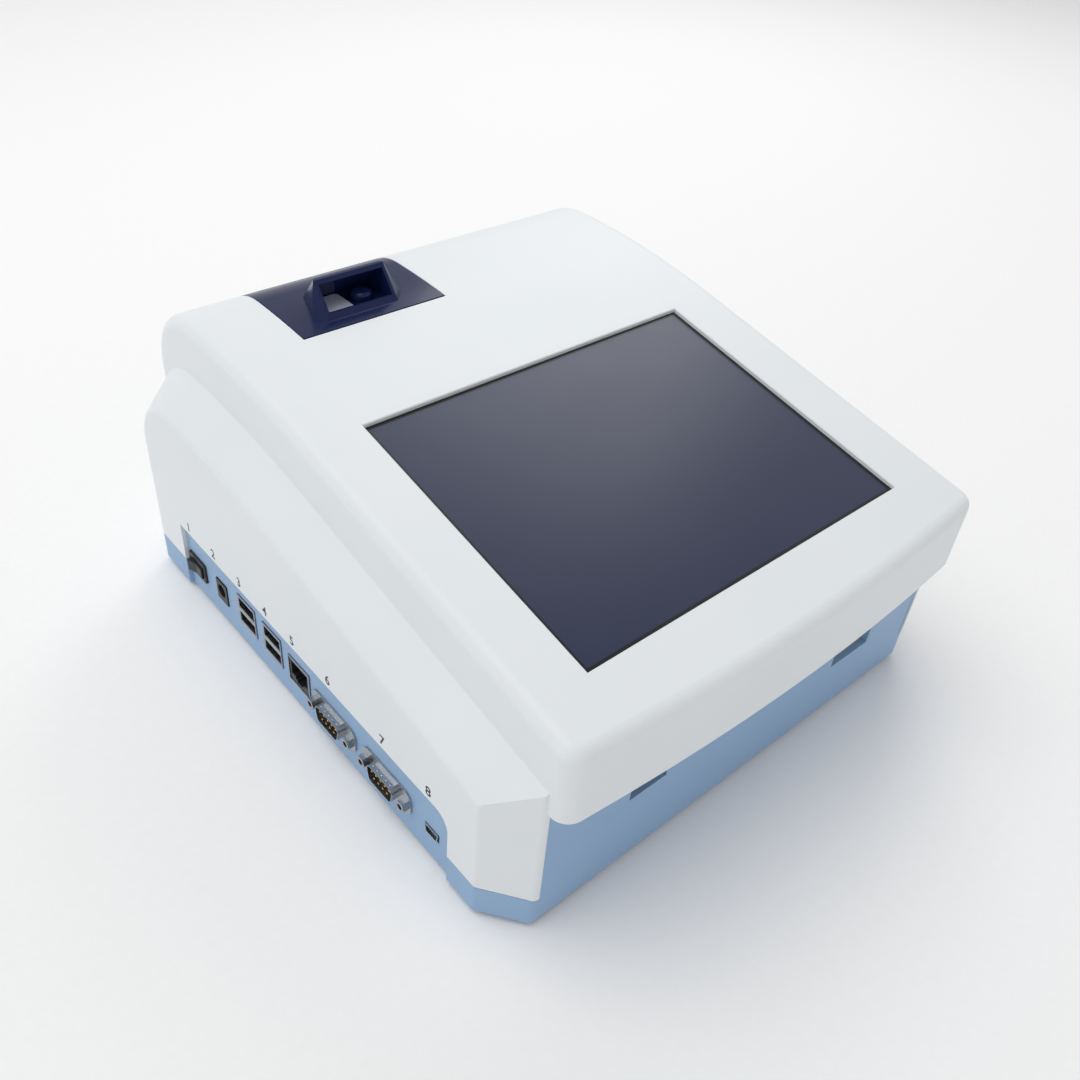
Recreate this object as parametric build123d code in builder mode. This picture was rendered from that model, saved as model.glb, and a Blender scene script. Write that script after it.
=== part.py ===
from build123d import *
import os
from math import sin, cos, tan, atan, radians, hypot

os.makedirs("parts", exist_ok=True)

# Millimetres. X runs across, Y runs back from the front corners of the screen
# bezel, Z runs up from the bench the feet stand on.

# case
foot_drop = 2.0          # feet stand this far below the base
case_w = 240.0
rear_margin = 26.0       # case behind the port window
wall = 2.5
seam_h = 16.6            # joint between the blue base and the white cover
seam_gap = 0.3
front_y = 7.4            # front of the case below the bezel
front_step = 0.6         # the blue front stands back this far
nose_x, nose_y = 12.7, 16.8   # size of the cut-off front corners
nose_r = 3.0
corner_r = 5.0
seat_gap = 0.2           # slack between pieces that only rest together
run_gap = 0.06           # running clearance, each side
lip_gap = 0.3

# sloping top, its crest and the rounded back
plateau_w = 213.6        # raised middle that carries the screen and the lid
front_top = 95.2         # height of the slope at Y = 0
crest_h = 133.0
arch_reach = 42.5        # from the crest forward to where its line and the slope's would meet
rear_round = 31.0
ledge_drop = 23.2        # the side ledges start this far under the plateau
shoulder_drop = 39.2     # and end this far under it, at the side walls
bezel_low = 63.7
bezel_bow = 5.1          # the bezel's front edge bulges forward
bezel_corner_r = 7.0
soft_r = 5.0

# screen
screen_w, screen_l = 162.0, 122.7
screen_x = -1.5
screen_front = 21.0      # along the slope from the front edge
skin_at_screen = 1.8
glass_t = 1.8
glass_margin = 3.7
lcd_w, lcd_l, lcd_t = 183.0, 141.0, 5.7
lcd_boss_out = 5.5       # bosses stand this far outside the display
lcd_boss_y = 52.0

# port panel on the left, and its sockets from front to back
panel_recess = 2.0
panel_t = 2.5
window_front, window_top = 39.0, 36.5
window_gap = 0.3
window_end = 1.9         # window behind the switch
board_top, board_t = 13.0, 1.6
proud = 0.6              # how far the sockets stand out of the panel
slack = 0.3              # gap round a socket in its cut-out
mini_w, mini_h, mini_z = 7.7, 3.9, 16.2
flange_w, flange_h, flange_t = 30.8, 12.5, 0.8
com_z, com_screw_gap = 17.6, 24.99
lan_w, lan_h, lan_l = 15.8, 13.5, 20.0
usb_w, usb_h, usb_l = 14.5, 15.6, 17.5
dc_w, dc_h, dc_l = 9.0, 11.0, 14.0
switch_l, switch_w, switch_deep = 15.0, 10.5, 12.0
switch_z = 17.5
# clear space before each socket, going back along the panel
mini_space, com1_space, com2_space, lan_space = 7.15, 8.05, 4.7, 2.2
usb1_space, usb2_space, dc_space, switch_space = 5.65, 6.5, 10.45, 10.3

# printer bay, lid and hinge
lid_x0, lid_w = -73.9, 67.5
lid_reach = 34.8         # from the lid's front edge to the crest
lid_t = 2.2
lid_gap = 0.4
rear_gap = 1.3           # room for the lid to swing past upright
paper_slot = 0.8
knuckle_r = 4.0
pin_r = 1.5
pin_over = 5.0           # the pin runs this far past the lid, into the cover's ears
knuckle_turn = 20.8      # where round the back the hinge sits, degrees past the crest
bay_side, bay_front_in, bay_rear_out = 0.5, 1.0, 6.0   # bay against the lid's sides, its front and the pin
bay_deep, bay_wall = 36.7, 1.6
barrel_gap = 0.54        # between the lid's barrel and the bay
lug_drop, lug_t, lug_r = 15.0, 3.0, 3.6   # lugs that hang the bay, under the crest
lug_out = 4.6
roll_r, roll_l, roll_gap = 17.5, 57.5, 0.3
roller_r, roller_drop, roller_in = 4.5, 10.0, 8.8      # under the crest, and behind the lid's front
roller_l, axle_r, ear_t = 57.5, 1.2, 2.0
head_gap = 0.3
head_h = 10.2

# slots in the front
card_x, card_w, card_z, card_h = 62.7, 24.3, 28.7, 10.0
chip_x, chip_w, chip_z, chip_h = -56.9, 18.3, 36.5, 8.0

# places that follow from these
mini_y = window_front + mini_space + mini_w / 2
com1_y = mini_y + mini_w / 2 + com1_space + flange_w / 2
com2_y = com1_y + flange_w + com2_space
lan_y = com2_y + flange_w / 2 + lan_space + lan_w / 2
usb1_y = lan_y + lan_w / 2 + usb1_space + usb_w / 2
usb2_y = usb1_y + usb_w + usb2_space
dc_y = usb2_y + usb_w / 2 + dc_space + dc_w / 2
switch_y = dc_y + dc_w / 2 + switch_space + switch_l / 2
window_rear = switch_y + switch_l / 2 + window_end
case_d = window_rear + rear_margin

crest_y = case_d - rear_round
slope = atan((crest_h - front_top) / (crest_y - arch_reach))
crest_bend = arch_reach / tan(slope / 2)
plateau_x = plateau_w / 2
side_x = case_w / 2
floor_z = foot_drop + wall
base_top = seam_h - seam_gap
front_wall_y = front_y + front_step
panel_x = panel_recess - side_x
panel_in = panel_x + panel_t
window_mid, window_l = (window_front + window_rear) / 2, window_rear - window_front

lid_x1 = lid_x0 + lid_w
lid_mid = (lid_x0 + lid_x1) / 2
lid_front = crest_y - lid_reach
hinge_y = crest_y + (rear_round - knuckle_r) * sin(radians(knuckle_turn))
hinge_z = crest_h - rear_round + (rear_round - knuckle_r) * cos(radians(knuckle_turn))
lid_rear = hinge_y + knuckle_r
pin_x0, pin_x1 = lid_x0 - pin_over, lid_x1 + pin_over
bay_x0, bay_x1 = lid_x0 + bay_side, lid_x1 - bay_side
bay_y0, bay_y1 = lid_front + bay_front_in, hinge_y + bay_rear_out
bay_mid_y = (bay_y0 + bay_y1) / 2
bay_rim = hinge_z - knuckle_r - barrel_gap
bay_floor = bay_rim - bay_deep
lug_h = crest_h - lug_drop
lug_at = [(x, y) for x in (bay_x0 - lug_out, bay_x1 + lug_out) for y in (bay_y0 + 5.8, bay_y1 - 17.6)]
roll_y, roll_z = bay_y1 - bay_wall - roll_gap - roll_r, bay_floor + bay_wall + roll_r
roller_y, roller_z = lid_front + roller_in, crest_h - roller_drop
head_top = roller_z - roller_r - head_gap
head_foot = head_top - head_h

board_x0, board_x1 = panel_in + slack, card_x - 28.7
board_y0, board_y1 = window_front + 3, dc_y + dc_w / 2 + 5.2
board_post_at = [(x, y) for x in (board_x0 + 21.2, board_x0 + 85.2, board_x1 - 6)
                 for y in (board_y0 + 6, board_y1 - 6)]
case_screw_at = [(x, y) for x in (10 - side_x, side_x - 10) for y in (front_y + 22.6, case_d - 15)]
foot_at = [(x, y) for x in (28 - side_x, side_x - 28) for y in (front_y + 26.6, case_d - 22)]
foot_r, foot_t = 8.0, 3.0


def side_line(drop, inset, low, front=-20.0):
    # side view of the case under its sloping top: Y across, Z up
    top = crest_h - drop
    bend = crest_bend - inset
    back = rear_round - inset
    low_c = top - crest_bend
    back_c = top - rear_round
    start = (crest_y - bend * sin(slope), low_c + bend * cos(slope))
    half = (crest_y - bend * sin(slope / 2), low_c + bend * cos(slope / 2))
    crest = (crest_y, top - inset)
    turn = (crest_y + back * sin(radians(45)), back_c + back * cos(radians(45)))
    end = (crest_y + back, back_c)
    with BuildLine() as line:
        ThreePointArc(start, half, crest)
        ThreePointArc(crest, turn, end)
        Polyline(end, (end[0], low), (front, low),
                 (front, start[1] - (start[0] - front) * tan(slope)), start)
    return line.edges()


def case_line(inset, front_in):
    # plan of the case with its cut-off front corners
    cut = hypot(nose_x, nose_y)
    x, back, front = side_x - inset, case_d - inset, front_y + front_in
    px = side_x - inset * nose_y / cut
    py = front_y + nose_y + inset * nose_x / cut
    y_side = py + (x - px) * nose_y / nose_x
    x_front = px - (py - front) * nose_x / nose_y
    with BuildLine() as line:
        Polyline((-x_front, front), (x_front, front), (x, y_side), (x, back),
                 (-x, back), (-x, y_side), (-x_front, front))
    return line.edges()


def bezel_line(inset):
    # plan of the plateau: bowed in front, running out past the back
    x = plateau_x - inset
    with BuildLine() as line:
        ThreePointArc((-x, inset), (0, inset - bezel_bow), (x, inset))
        Polyline((x, inset), (x, case_d + 10), (-x, case_d + 10), (-x, inset))
    return line.edges()


def plateau_form(inset, rounded):
    x = plateau_x - inset
    low = bezel_low + inset
    side, plan_line = side_line(0, inset, low), bezel_line(inset)
    with BuildPart() as form:
        with BuildSketch(Plane.YZ.offset(-x)):
            make_face(side)
        extrude(amount=2 * x)
        with BuildSketch(Plane.XY) as plan:
            make_face(plan_line)
            fillet(plan.vertices().sort_by(Axis.Y)[:2], radius=bezel_corner_r - inset)
        extrude(amount=2 * crest_h, mode=Mode.INTERSECT)
        if rounded:
            # every edge of the top, and the two upright ones at the back
            upper = form.edges().filter_by(lambda e: e.center().Z > low + 1)
            front_posts = upper.filter_by(Axis.Z).filter_by(lambda e: e.center().Y < 50)
            fillet(upper - front_posts - upper.filter_by(Axis.X), radius=soft_r)
    return form.part


def flank_form(inset, front_in, rounded):
    # the lower, wider part: the middle, and a ledge leaning out on each side
    lean = hypot(side_x - plateau_x, shoulder_drop - ledge_drop)
    rise, run = shoulder_drop - ledge_drop, side_x - plateau_x
    x = plateau_x - inset
    # moved square to the ledge, the ledge's line comes down by this much
    drop = ledge_drop + inset * (lean - rise) / run
    middle = side_line(drop, inset, seam_h - inset)
    wing = side_line(drop, inset, seam_h - 40)
    plan_line = case_line(inset, front_in)
    with BuildPart() as form:
        with BuildSketch(Plane.YZ.offset(-x)):
            make_face(middle)
        extrude(amount=2 * x)
        for side in (-1, 1):
            with BuildSketch(Plane.YZ.offset(side * x)):
                make_face(wing)
            extrude(amount=lean, dir=(side * run, 0, -rise))
        if rounded:
            shoulder = form.edges().filter_by(lambda e: abs(abs(e.center().X) - side_x) < 0.01)
            shoulder = shoulder.filter_by(
                lambda e: e.center().Y > -19 and not abs((e @ 0).Y - (e @ 1).Y) > 250)
            fillet(shoulder, radius=corner_r - 1)
        with BuildSketch(Plane.XY.offset(seam_h - inset)) as plan:
            make_face(plan_line)
            fillet(plan.vertices().filter_by(lambda v: plateau_x < abs(v.X) and v.Y < 60), radius=nose_r)
        extrude(amount=crest_h, mode=Mode.INTERSECT)
    return form.part


def lid_skin(x0, x1, y0, y1, depth, top_in=0.0):
    # a strip of the arched top, from top_in down to depth
    outer, inner = side_line(0, top_in, bezel_low), side_line(0, depth, bezel_low - 5)
    with BuildPart() as strip:
        with BuildSketch(Plane.YZ.offset(x0)):
            make_face(outer)
            make_face(inner, mode=Mode.SUBTRACT)
            with Locations(((y0 + y1) / 2, crest_h)):
                Rectangle(y1 - y0, 40, mode=Mode.INTERSECT)
        extrude(amount=x1 - x0)
    return strip.part


# the screen's own plane, and the depths of what lies under it
mid_s = screen_front + screen_l / 2
screen = Plane(origin=(screen_x, mid_s * cos(slope), front_top + mid_s * sin(slope)),
               x_dir=(1, 0, 0), z_dir=(0, -sin(slope), cos(slope)))
lcd_boss_x = lcd_w / 2 + lcd_boss_out
lcd_bosses = [(x, y) for x in (-lcd_boss_x, lcd_boss_x) for y in (-lcd_boss_y, lcd_boss_y)]
glass_deep = skin_at_screen + glass_t
lcd_top = glass_deep + seat_gap
lcd_deep = lcd_top + lcd_t
frame_top = lcd_deep + seat_gap
frame_t = 1.0

# white cover
outer_plateau, outer_flank = plateau_form(0, True), flank_form(0, 0, True)
inner_plateau, inner_flank = plateau_form(wall, False), flank_form(wall, wall, False)
mouth_x = plateau_x - 1.4

with BuildPart() as case_bosses:
    with BuildSketch(Plane.XY.offset(seam_h)):
        with Locations(*case_screw_at):
            Circle(3.5)
    extrude(amount=crest_h)
    add(outer_flank, mode=Mode.INTERSECT)

with BuildPart() as bay_bosses:
    with BuildSketch(Plane.XY.offset(lug_h)):
        with Locations(*lug_at):
            Circle(3.0)
    extrude(amount=crest_h)
    add(outer_plateau, mode=Mode.INTERSECT)

with BuildPart() as top_shell:
    add(outer_plateau)
    add(outer_flank)
    add(inner_plateau, mode=Mode.SUBTRACT)
    add(inner_flank, mode=Mode.SUBTRACT)
    # room for the blue front wall, and the strip of cover that closes over it
    with BuildSketch(Plane.XY):
        with Locations((0, front_y)):
            Rectangle(2 * mouth_x, 30)
    extrude(amount=bezel_low, mode=Mode.SUBTRACT)
    with BuildSketch(Plane.XY.offset(bezel_low)):
        with Locations((0, front_y + 4.3)):
            Rectangle(2 * (plateau_x - wall), 4.6)
    extrude(amount=wall)
    # screen opening, with a rebate from inside for the glass
    with BuildSketch(screen):
        Rectangle(screen_w, screen_l)
    extrude(amount=2 * wall, both=True, mode=Mode.SUBTRACT)
    lip = top_shell.edges().filter_by(lambda e: abs(screen.to_local_coords(e.center()).Z) < 0.01)
    lip = lip.filter_by(lambda e: abs(screen.to_local_coords(e.center()).X) < screen_w / 2 + 0.1)
    chamfer(lip.filter_by(lambda e: abs(screen.to_local_coords(e.center()).Y) < screen_l / 2 + 0.1),
            length=0.4)
    with BuildSketch(screen.offset(-skin_at_screen)):
        Rectangle(screen_w + 2 * glass_margin + 0.6, screen_l + 2 * glass_margin + 0.6)
    extrude(amount=-wall, mode=Mode.SUBTRACT)
    with BuildSketch(screen.offset(-frame_top)):
        with Locations(*lcd_bosses):
            Circle(3.0)
    extrude(amount=frame_top - 1.0)
    with BuildSketch(screen.offset(-frame_top)):
        with Locations(*lcd_bosses):
            Circle(1.2)
    extrude(amount=5.0, mode=Mode.SUBTRACT)
    # lid opening
    with BuildSketch(Plane.XY.offset(bezel_low)):
        with Locations((lid_mid, (lid_front - paper_slot + lid_rear + rear_gap) / 2)):
            Rectangle(lid_x1 - lid_x0 + 2 * lid_gap, lid_rear + rear_gap - lid_front + paper_slot)
    extrude(amount=crest_h, mode=Mode.SUBTRACT)
    # bosses for the printer bay
    add(bay_bosses.part)
    with BuildSketch(Plane.XY.offset(lug_h)):
        with Locations(*lug_at):
            Circle(1.2)
    extrude(amount=7, mode=Mode.SUBTRACT)
    # ears that hold the lid's pin
    for x in (pin_x0 - 1.5, lid_x1 + lid_gap):
        with BuildSketch(Plane.YZ.offset(x)):
            with Locations((hinge_y, hinge_z)):
                Circle(knuckle_r - 0.4)
            with Locations((hinge_y, hinge_z + 1.4)):
                Rectangle(2 * knuckle_r - 0.8, 2.8)
        extrude(amount=pin_x1 + 1.5 - lid_x1 - lid_gap)
    with BuildSketch(Plane.YZ.offset(pin_x0)):
        with Locations((hinge_y, hinge_z)):
            Circle(pin_r)
    extrude(amount=pin_x1 - pin_x0, mode=Mode.SUBTRACT)
    # bosses for the case screws
    add(case_bosses.part)
    with BuildSketch(Plane.XY.offset(seam_h)):
        with Locations(*case_screw_at):
            Circle(1.3)
    extrude(amount=14, mode=Mode.SUBTRACT)
    # window for the port panel
    with BuildSketch(Plane.YZ.offset(-side_x - 1)) as window:
        with Locations((window_mid, window_top / 2)):
            Rectangle(window_l, window_top)
        top_corners = window.vertices().group_by(Axis.Y)[-1].sort_by(Axis.X)
        fillet(top_corners[0], radius=7)
        fillet(top_corners[1], radius=1.5)
    extrude(amount=wall + 2, mode=Mode.SUBTRACT)
top_shell.part.label = "top_shell"
export_step(top_shell.part, "parts/top_shell.step")

# blue base
base_outer = case_line(0, front_wall_y - front_y)
base_inner = case_line(wall, front_wall_y - front_y + wall)
lip_outer, lip_inner = case_line(wall + lip_gap, 10), case_line(wall + lip_gap + 1.4, 10)


def cutout(y, z, width, height, grow):
    # a hole through the port panel
    with BuildPart() as hole:
        with BuildSketch(Plane.YZ.offset(panel_x - 1)):
            with Locations((y, z)):
                Rectangle(width + 2 * grow, height + 2 * grow)
        extrude(amount=panel_t + 2)
    return hole.part


with BuildPart() as base_shell:
    with BuildSketch(Plane.XY.offset(foot_drop)) as plan:
        make_face(base_outer)
        fillet(plan.vertices().filter_by(lambda v: v.Y > 100), radius=corner_r - 1)
        fillet(plan.vertices().filter_by(lambda v: plateau_x < abs(v.X) and v.Y < 60), radius=nose_r)
    extrude(amount=base_top - foot_drop)
    under = base_shell.edges().group_by(Axis.Z)[0]
    fillet(under, radius=1.2)
    with BuildSketch(Plane.XY.offset(floor_z)):
        make_face(base_inner)
    extrude(amount=seam_h, mode=Mode.SUBTRACT)
    # lip that stands up inside the cover's wall
    with BuildSketch(Plane.XY.offset(seam_h - 4)):
        make_face(lip_outer)
        make_face(lip_inner, mode=Mode.SUBTRACT)
        with Locations((0, front_y)):
            Rectangle(2 * mouth_x + 1, 30, mode=Mode.SUBTRACT)
    extrude(amount=7)
    # the wall makes way for the port panel, which stands on a strip of the floor
    with BuildSketch(Plane.XY):
        with Locations((panel_x - 5, window_mid)):
            Rectangle(10, window_l)
    extrude(amount=crest_h, mode=Mode.SUBTRACT)
    with BuildSketch(Plane.XY.offset(floor_z)):
        with Locations((panel_in - 5, window_mid)):
            Rectangle(10, window_l - 2 * window_gap)
    extrude(amount=crest_h, mode=Mode.SUBTRACT)
    for side in (-1, 1):
        with Locations((panel_x, window_mid + side * (window_l / 2 - window_gap + 1), floor_z)):
            Box(panel_t, 2, base_top - floor_z, align=(Align.MIN, Align.CENTER, Align.MIN))
    # posts for the case screws, counterbored from below
    with BuildSketch(Plane.XY.offset(foot_drop + 1)):
        with Locations(*case_screw_at):
            Circle(5.0)
    extrude(amount=seam_h - seat_gap - foot_drop - 1)
    with BuildSketch(Plane.XY.offset(foot_drop)):
        with Locations(*case_screw_at):
            Circle(3.3)
    extrude(amount=5, mode=Mode.SUBTRACT)
    with BuildSketch(Plane.XY.offset(foot_drop)):
        with Locations(*case_screw_at):
            Circle(1.8)
    extrude(amount=seam_h, mode=Mode.SUBTRACT)
    # posts for the main board
    with BuildSketch(Plane.XY.offset(floor_z)):
        with Locations(*board_post_at):
            Circle(3.0)
    extrude(amount=board_top - board_t - floor_z)
    with BuildSketch(Plane.XY.offset(floor_z)):
        with Locations(*board_post_at):
            Circle(1.2)
    extrude(amount=board_top, mode=Mode.SUBTRACT)
    # recesses for the feet
    with BuildSketch(Plane.XY.offset(foot_drop)):
        with Locations(*foot_at):
            Circle(foot_r + 0.3)
    extrude(amount=foot_t - foot_drop, mode=Mode.SUBTRACT)
base_shell.part.label = "base_shell"
export_step(base_shell.part, "parts/base_shell.step")

with BuildPart() as front_panel:
    # stands on the base's front wall and runs up under the bezel, with a tongue behind the wall
    with BuildSketch(Plane.XY.offset(base_top)):
        with Locations((0, front_wall_y + wall / 2)):
            Rectangle(2 * (mouth_x - 0.3), wall)
    extrude(amount=bezel_low - seam_gap - base_top)
    with BuildSketch(Plane.XY.offset(base_top - 8)):
        with Locations((0, front_wall_y + wall + seat_gap + 0.8)):
            Rectangle(2 * (mouth_x - 6), 1.6)
    extrude(amount=12)
    with BuildSketch(Plane.XY.offset(base_top + 0.5)):
        with Locations((0, front_wall_y + wall)):
            Rectangle(2 * (mouth_x - 6), 1.6)
    extrude(amount=3.5)
    # slots for the test card and the code chip
    with BuildSketch(Plane.XZ.offset(-front_wall_y - wall - 1)):
        with Locations((card_x, card_z + card_h / 2)):
            Rectangle(card_w, card_h)
        with Locations((chip_x, chip_z + chip_h / 2)):
            Rectangle(chip_w, chip_h)
    extrude(amount=wall + 2, mode=Mode.SUBTRACT)
front_panel.part.label = "front_panel"
export_step(front_panel.part, "parts/front_panel.step")

with BuildPart() as port_panel:
    with BuildSketch(Plane.YZ.offset(panel_x)) as panel:
        with Locations((window_mid, (window_top - window_gap + floor_z) / 2)):
            Rectangle(window_l - 2 * window_gap, window_top - window_gap - floor_z)
        top_corners = panel.vertices().group_by(Axis.Y)[-1].sort_by(Axis.X)
        fillet(top_corners[0], radius=7)
        fillet(top_corners[1], radius=1.5)
    extrude(amount=panel_t)
    for y in (usb1_y, usb2_y):
        add(cutout(y, board_top + usb_h / 2, usb_w, usb_h, slack), mode=Mode.SUBTRACT)
    add(cutout(lan_y, board_top + lan_h / 2, lan_w, lan_h, slack), mode=Mode.SUBTRACT)
    add(cutout(dc_y, board_top + dc_h / 2, dc_w, dc_h, slack), mode=Mode.SUBTRACT)
    add(cutout(mini_y, mini_z, mini_w, mini_h, slack), mode=Mode.SUBTRACT)
    add(cutout(switch_y, switch_z, switch_l - 1.6, switch_w - 2.0, 0.1), mode=Mode.SUBTRACT)
    for y in (com1_y, com2_y):
        add(cutout(y, com_z, 19.0, 10.2, slack), mode=Mode.SUBTRACT)
        with BuildSketch(Plane.YZ.offset(panel_x - 1)):
            with Locations((y - com_screw_gap / 2, com_z), (y + com_screw_gap / 2, com_z)):
                Circle(1.6)
        extrude(amount=panel_t + 2, mode=Mode.SUBTRACT)
port_panel.part.label = "port_panel"
export_step(port_panel.part, "parts/port_panel.step")

# screen, from the glass down
with BuildPart() as touch_panel:
    with BuildSketch(screen.offset(-glass_deep)):
        RectangleRounded(screen_w + 2 * glass_margin, screen_l + 2 * glass_margin, 1.0)
    extrude(amount=glass_t)
touch_panel.part.label = "touch_panel"
export_step(touch_panel.part, "parts/touch_panel.step")

with BuildPart() as lcd_module:
    with BuildSketch(screen.offset(-lcd_deep)):
        Rectangle(lcd_w, lcd_l)
    extrude(amount=lcd_t)
    with BuildSketch(screen.offset(-lcd_top)):
        Rectangle(screen_w + 2, screen_l + 2)
    extrude(amount=-0.4, mode=Mode.SUBTRACT)
    # hollow along one edge of the back, for the driver strip
    with BuildSketch(screen.offset(-lcd_deep)):
        with Locations((0, lcd_l / 2 - 12)):
            Rectangle(150, 14)
    extrude(amount=0.8, mode=Mode.SUBTRACT)
lcd_module.part.label = "lcd_module"
export_step(lcd_module.part, "parts/lcd_module.step")

with BuildPart() as lcd_frame:
    # a sheet frame under the display, with a lug at each boss
    low_frame = frame_top + frame_t
    with BuildSketch(screen.offset(-low_frame)):
        Rectangle(lcd_w, lcd_l)
        with Locations(*[(side * (lcd_boss_x - 2.2), y)
                         for side in (-1, 1) for y in (-lcd_boss_y, lcd_boss_y)]):
            RectangleRounded(14, 14, 3)
        Rectangle(lcd_w - 26, lcd_l - 26, mode=Mode.SUBTRACT)
        with Locations(*lcd_bosses):
            Circle(1.6, mode=Mode.SUBTRACT)
    extrude(amount=frame_t)
    with BuildSketch(screen.offset(-low_frame)):
        with Locations((0, 34), (0, -34)):
            Rectangle(lcd_w - 20, 12)
    extrude(amount=frame_t)
    for side in (-1, 1):
        with BuildSketch(screen.offset(-low_frame)):
            with Locations((0, side * (lcd_l / 2 - frame_t / 2))):
                Rectangle(lcd_w - 8, frame_t)
        extrude(amount=-5)
lcd_frame.part.label = "lcd_frame"
export_step(lcd_frame.part, "parts/lcd_frame.step")


def screws(place, at, head_r, head_h, shank_r, shank_l, recess=False):
    # pan heads standing on the given plane, shanks running on past it
    with BuildPart() as group:
        with BuildSketch(place):
            with Locations(*at):
                Circle(head_r)
        extrude(amount=head_h)
        tops = group.edges().filter_by(GeomType.CIRCLE)
        tops = tops.filter_by(lambda e: place.to_local_coords(e.center()).Z > head_h / 2)
        chamfer(tops, length=head_h * 0.35)
        if recess:
            with BuildSketch(place.offset(head_h)):
                with Locations(*at):
                    Rectangle(head_r * 1.1, 0.7)
                    Rectangle(0.7, head_r * 1.1)
            extrude(amount=-head_h * 0.45, mode=Mode.SUBTRACT)
        with BuildSketch(place):
            with Locations(*at):
                Circle(shank_r)
        extrude(amount=-shank_l)
    return group.part


down_from_frame = Plane(origin=screen.offset(-low_frame).origin, x_dir=(1, 0, 0), z_dir=-screen.z_dir)
lcd_screws = screws(down_from_frame, [(x, -y) for x, y in lcd_bosses], 2.6, 1.9, 1.0, 5.2)
lcd_screws.label = "lcd_screws"
export_step(lcd_screws, "parts/lcd_screws.step")

# boards
with BuildPart() as main_board:
    with BuildSketch(Plane.XY.offset(board_top - board_t)):
        with Locations(((board_x0 + board_x1) / 2, (board_y0 + board_y1) / 2)):
            RectangleRounded(board_x1 - board_x0, board_y1 - board_y0, 1.5)
        with Locations(*board_post_at):
            Circle(1.6, mode=Mode.SUBTRACT)
    extrude(amount=board_t)
main_board.part.label = "main_board"
export_step(main_board.part, "parts/main_board.step")

board_screws = screws(Plane.XY.offset(board_top), board_post_at, 2.8, 1.9, 1.0, 6.0)
board_screws.label = "board_screws"
export_step(board_screws, "parts/board_screws.step")

processor_at, processor_t = (-50, 110), 2.4
with BuildPart() as board_chips:
    on_board = Plane.XY.offset(board_top)
    with BuildSketch(on_board):
        with Locations(processor_at):
            Rectangle(27, 27)
    extrude(amount=processor_t)
    # memory on both sides of the processor, a driver behind each serial socket
    with BuildSketch(on_board):
        with Locations(processor_at):
            with GridLocations(60, 40, 2, 2):
                Rectangle(14, 20)
        for y in (com1_y, com2_y):
            with Locations((-99, y)):
                Rectangle(7.5, 10)
    extrude(amount=1.2)
    # supply parts inboard of the power jack
    with BuildSketch(on_board):
        with Locations((-62, dc_y - 8)):
            with GridLocations(11, 11, 3, 2):
                Circle(4.0)
    extrude(amount=10)
board_chips.part.label = "board_chips"
export_step(board_chips.part, "parts/board_chips.step")

with BuildPart() as heat_sink:
    with BuildSketch(Plane.XY.offset(board_top + processor_t)):
        with Locations(processor_at):
            Rectangle(30, 30)
    extrude(amount=2)
    with BuildSketch(Plane.XY.offset(board_top + processor_t + 2)):
        with Locations(processor_at):
            with GridLocations(4.0, 1, 8, 1):
                Rectangle(1.2, 30)
    extrude(amount=9)
heat_sink.part.label = "heat_sink"
export_step(heat_sink.part, "parts/heat_sink.step")

# sockets along the left edge
mouth = panel_x - proud
port = Plane.YZ.offset(mouth)      # sketches here, pushed inwards along +X


def socket_box(y, z, width, height, deep):
    with BuildPart() as box:
        with BuildSketch(port):
            with Locations((y, z)):
                Rectangle(width, height)
        extrude(amount=deep)
    return box.part


usb_middle = board_top + usb_h / 2
usb_rows = (usb_middle - 3.85, usb_middle + 3.85)
for name, y in zip(("usb_front", "usb_rear"), (usb1_y, usb2_y)):
    with BuildPart() as usb:
        add(socket_box(y, usb_middle, usb_w, usb_h, usb_l))
        for z in usb_rows:
            add(socket_box(y, z, 12.9, 5.6, usb_l - 1), mode=Mode.SUBTRACT)
        # flared rim, as on the real shells
        rim = usb.faces().sort_by(Axis.X)[0].inner_wires().edges()
        chamfer(rim, length=0.35)
    usb.part.label = name
    export_step(usb.part, "parts/" + name + ".step")

with BuildPart() as usb_tongues:
    for y in (usb1_y, usb2_y):
        for z in usb_rows:
            with BuildSketch(Plane.YZ.offset(mouth + 1.6)):
                with Locations((y, z + 0.75)):
                    Rectangle(11.2, 1.9)
            extrude(amount=usb_l - 3.0)
            with BuildSketch(Plane.YZ.offset(mouth + 10)):
                with Locations((y, z)):
                    Rectangle(12.6, 5.3)
            extrude(amount=usb_l - 11.2)
usb_tongues.part.label = "usb_tongues"
export_step(usb_tongues.part, "parts/usb_tongues.step")

lan_z = board_top + lan_h / 2
with BuildPart() as lan_shell:
    add(socket_box(lan_y, lan_z, lan_w, lan_h, lan_l))
    add(socket_box(lan_y, lan_z, lan_w - 1.0, lan_h - 1.0, lan_l - 1), mode=Mode.SUBTRACT)
lan_shell.part.label = "lan_shell"
export_step(lan_shell.part, "parts/lan_shell.step")

with BuildPart() as lan_insert:
    with BuildSketch(Plane.YZ.offset(mouth + 0.4)):
        with Locations((lan_y, lan_z)):
            Rectangle(lan_w - 1.4, lan_h - 1.4)
    extrude(amount=lan_l - 1.7)
    # the plug's hole, with the step for its latch below
    for w, z, h in ((11.8, lan_z + 0.9, 7.0), (6.4, lan_z - 3.2, 1.4), (4.0, lan_z - 4.4, 1.2)):
        with BuildSketch(Plane.YZ.offset(mouth)):
            with Locations((lan_y, z)):
                Rectangle(w, h)
        extrude(amount=13, mode=Mode.SUBTRACT)
lan_insert.part.label = "lan_insert"
export_step(lan_insert.part, "parts/lan_insert.step")

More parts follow.
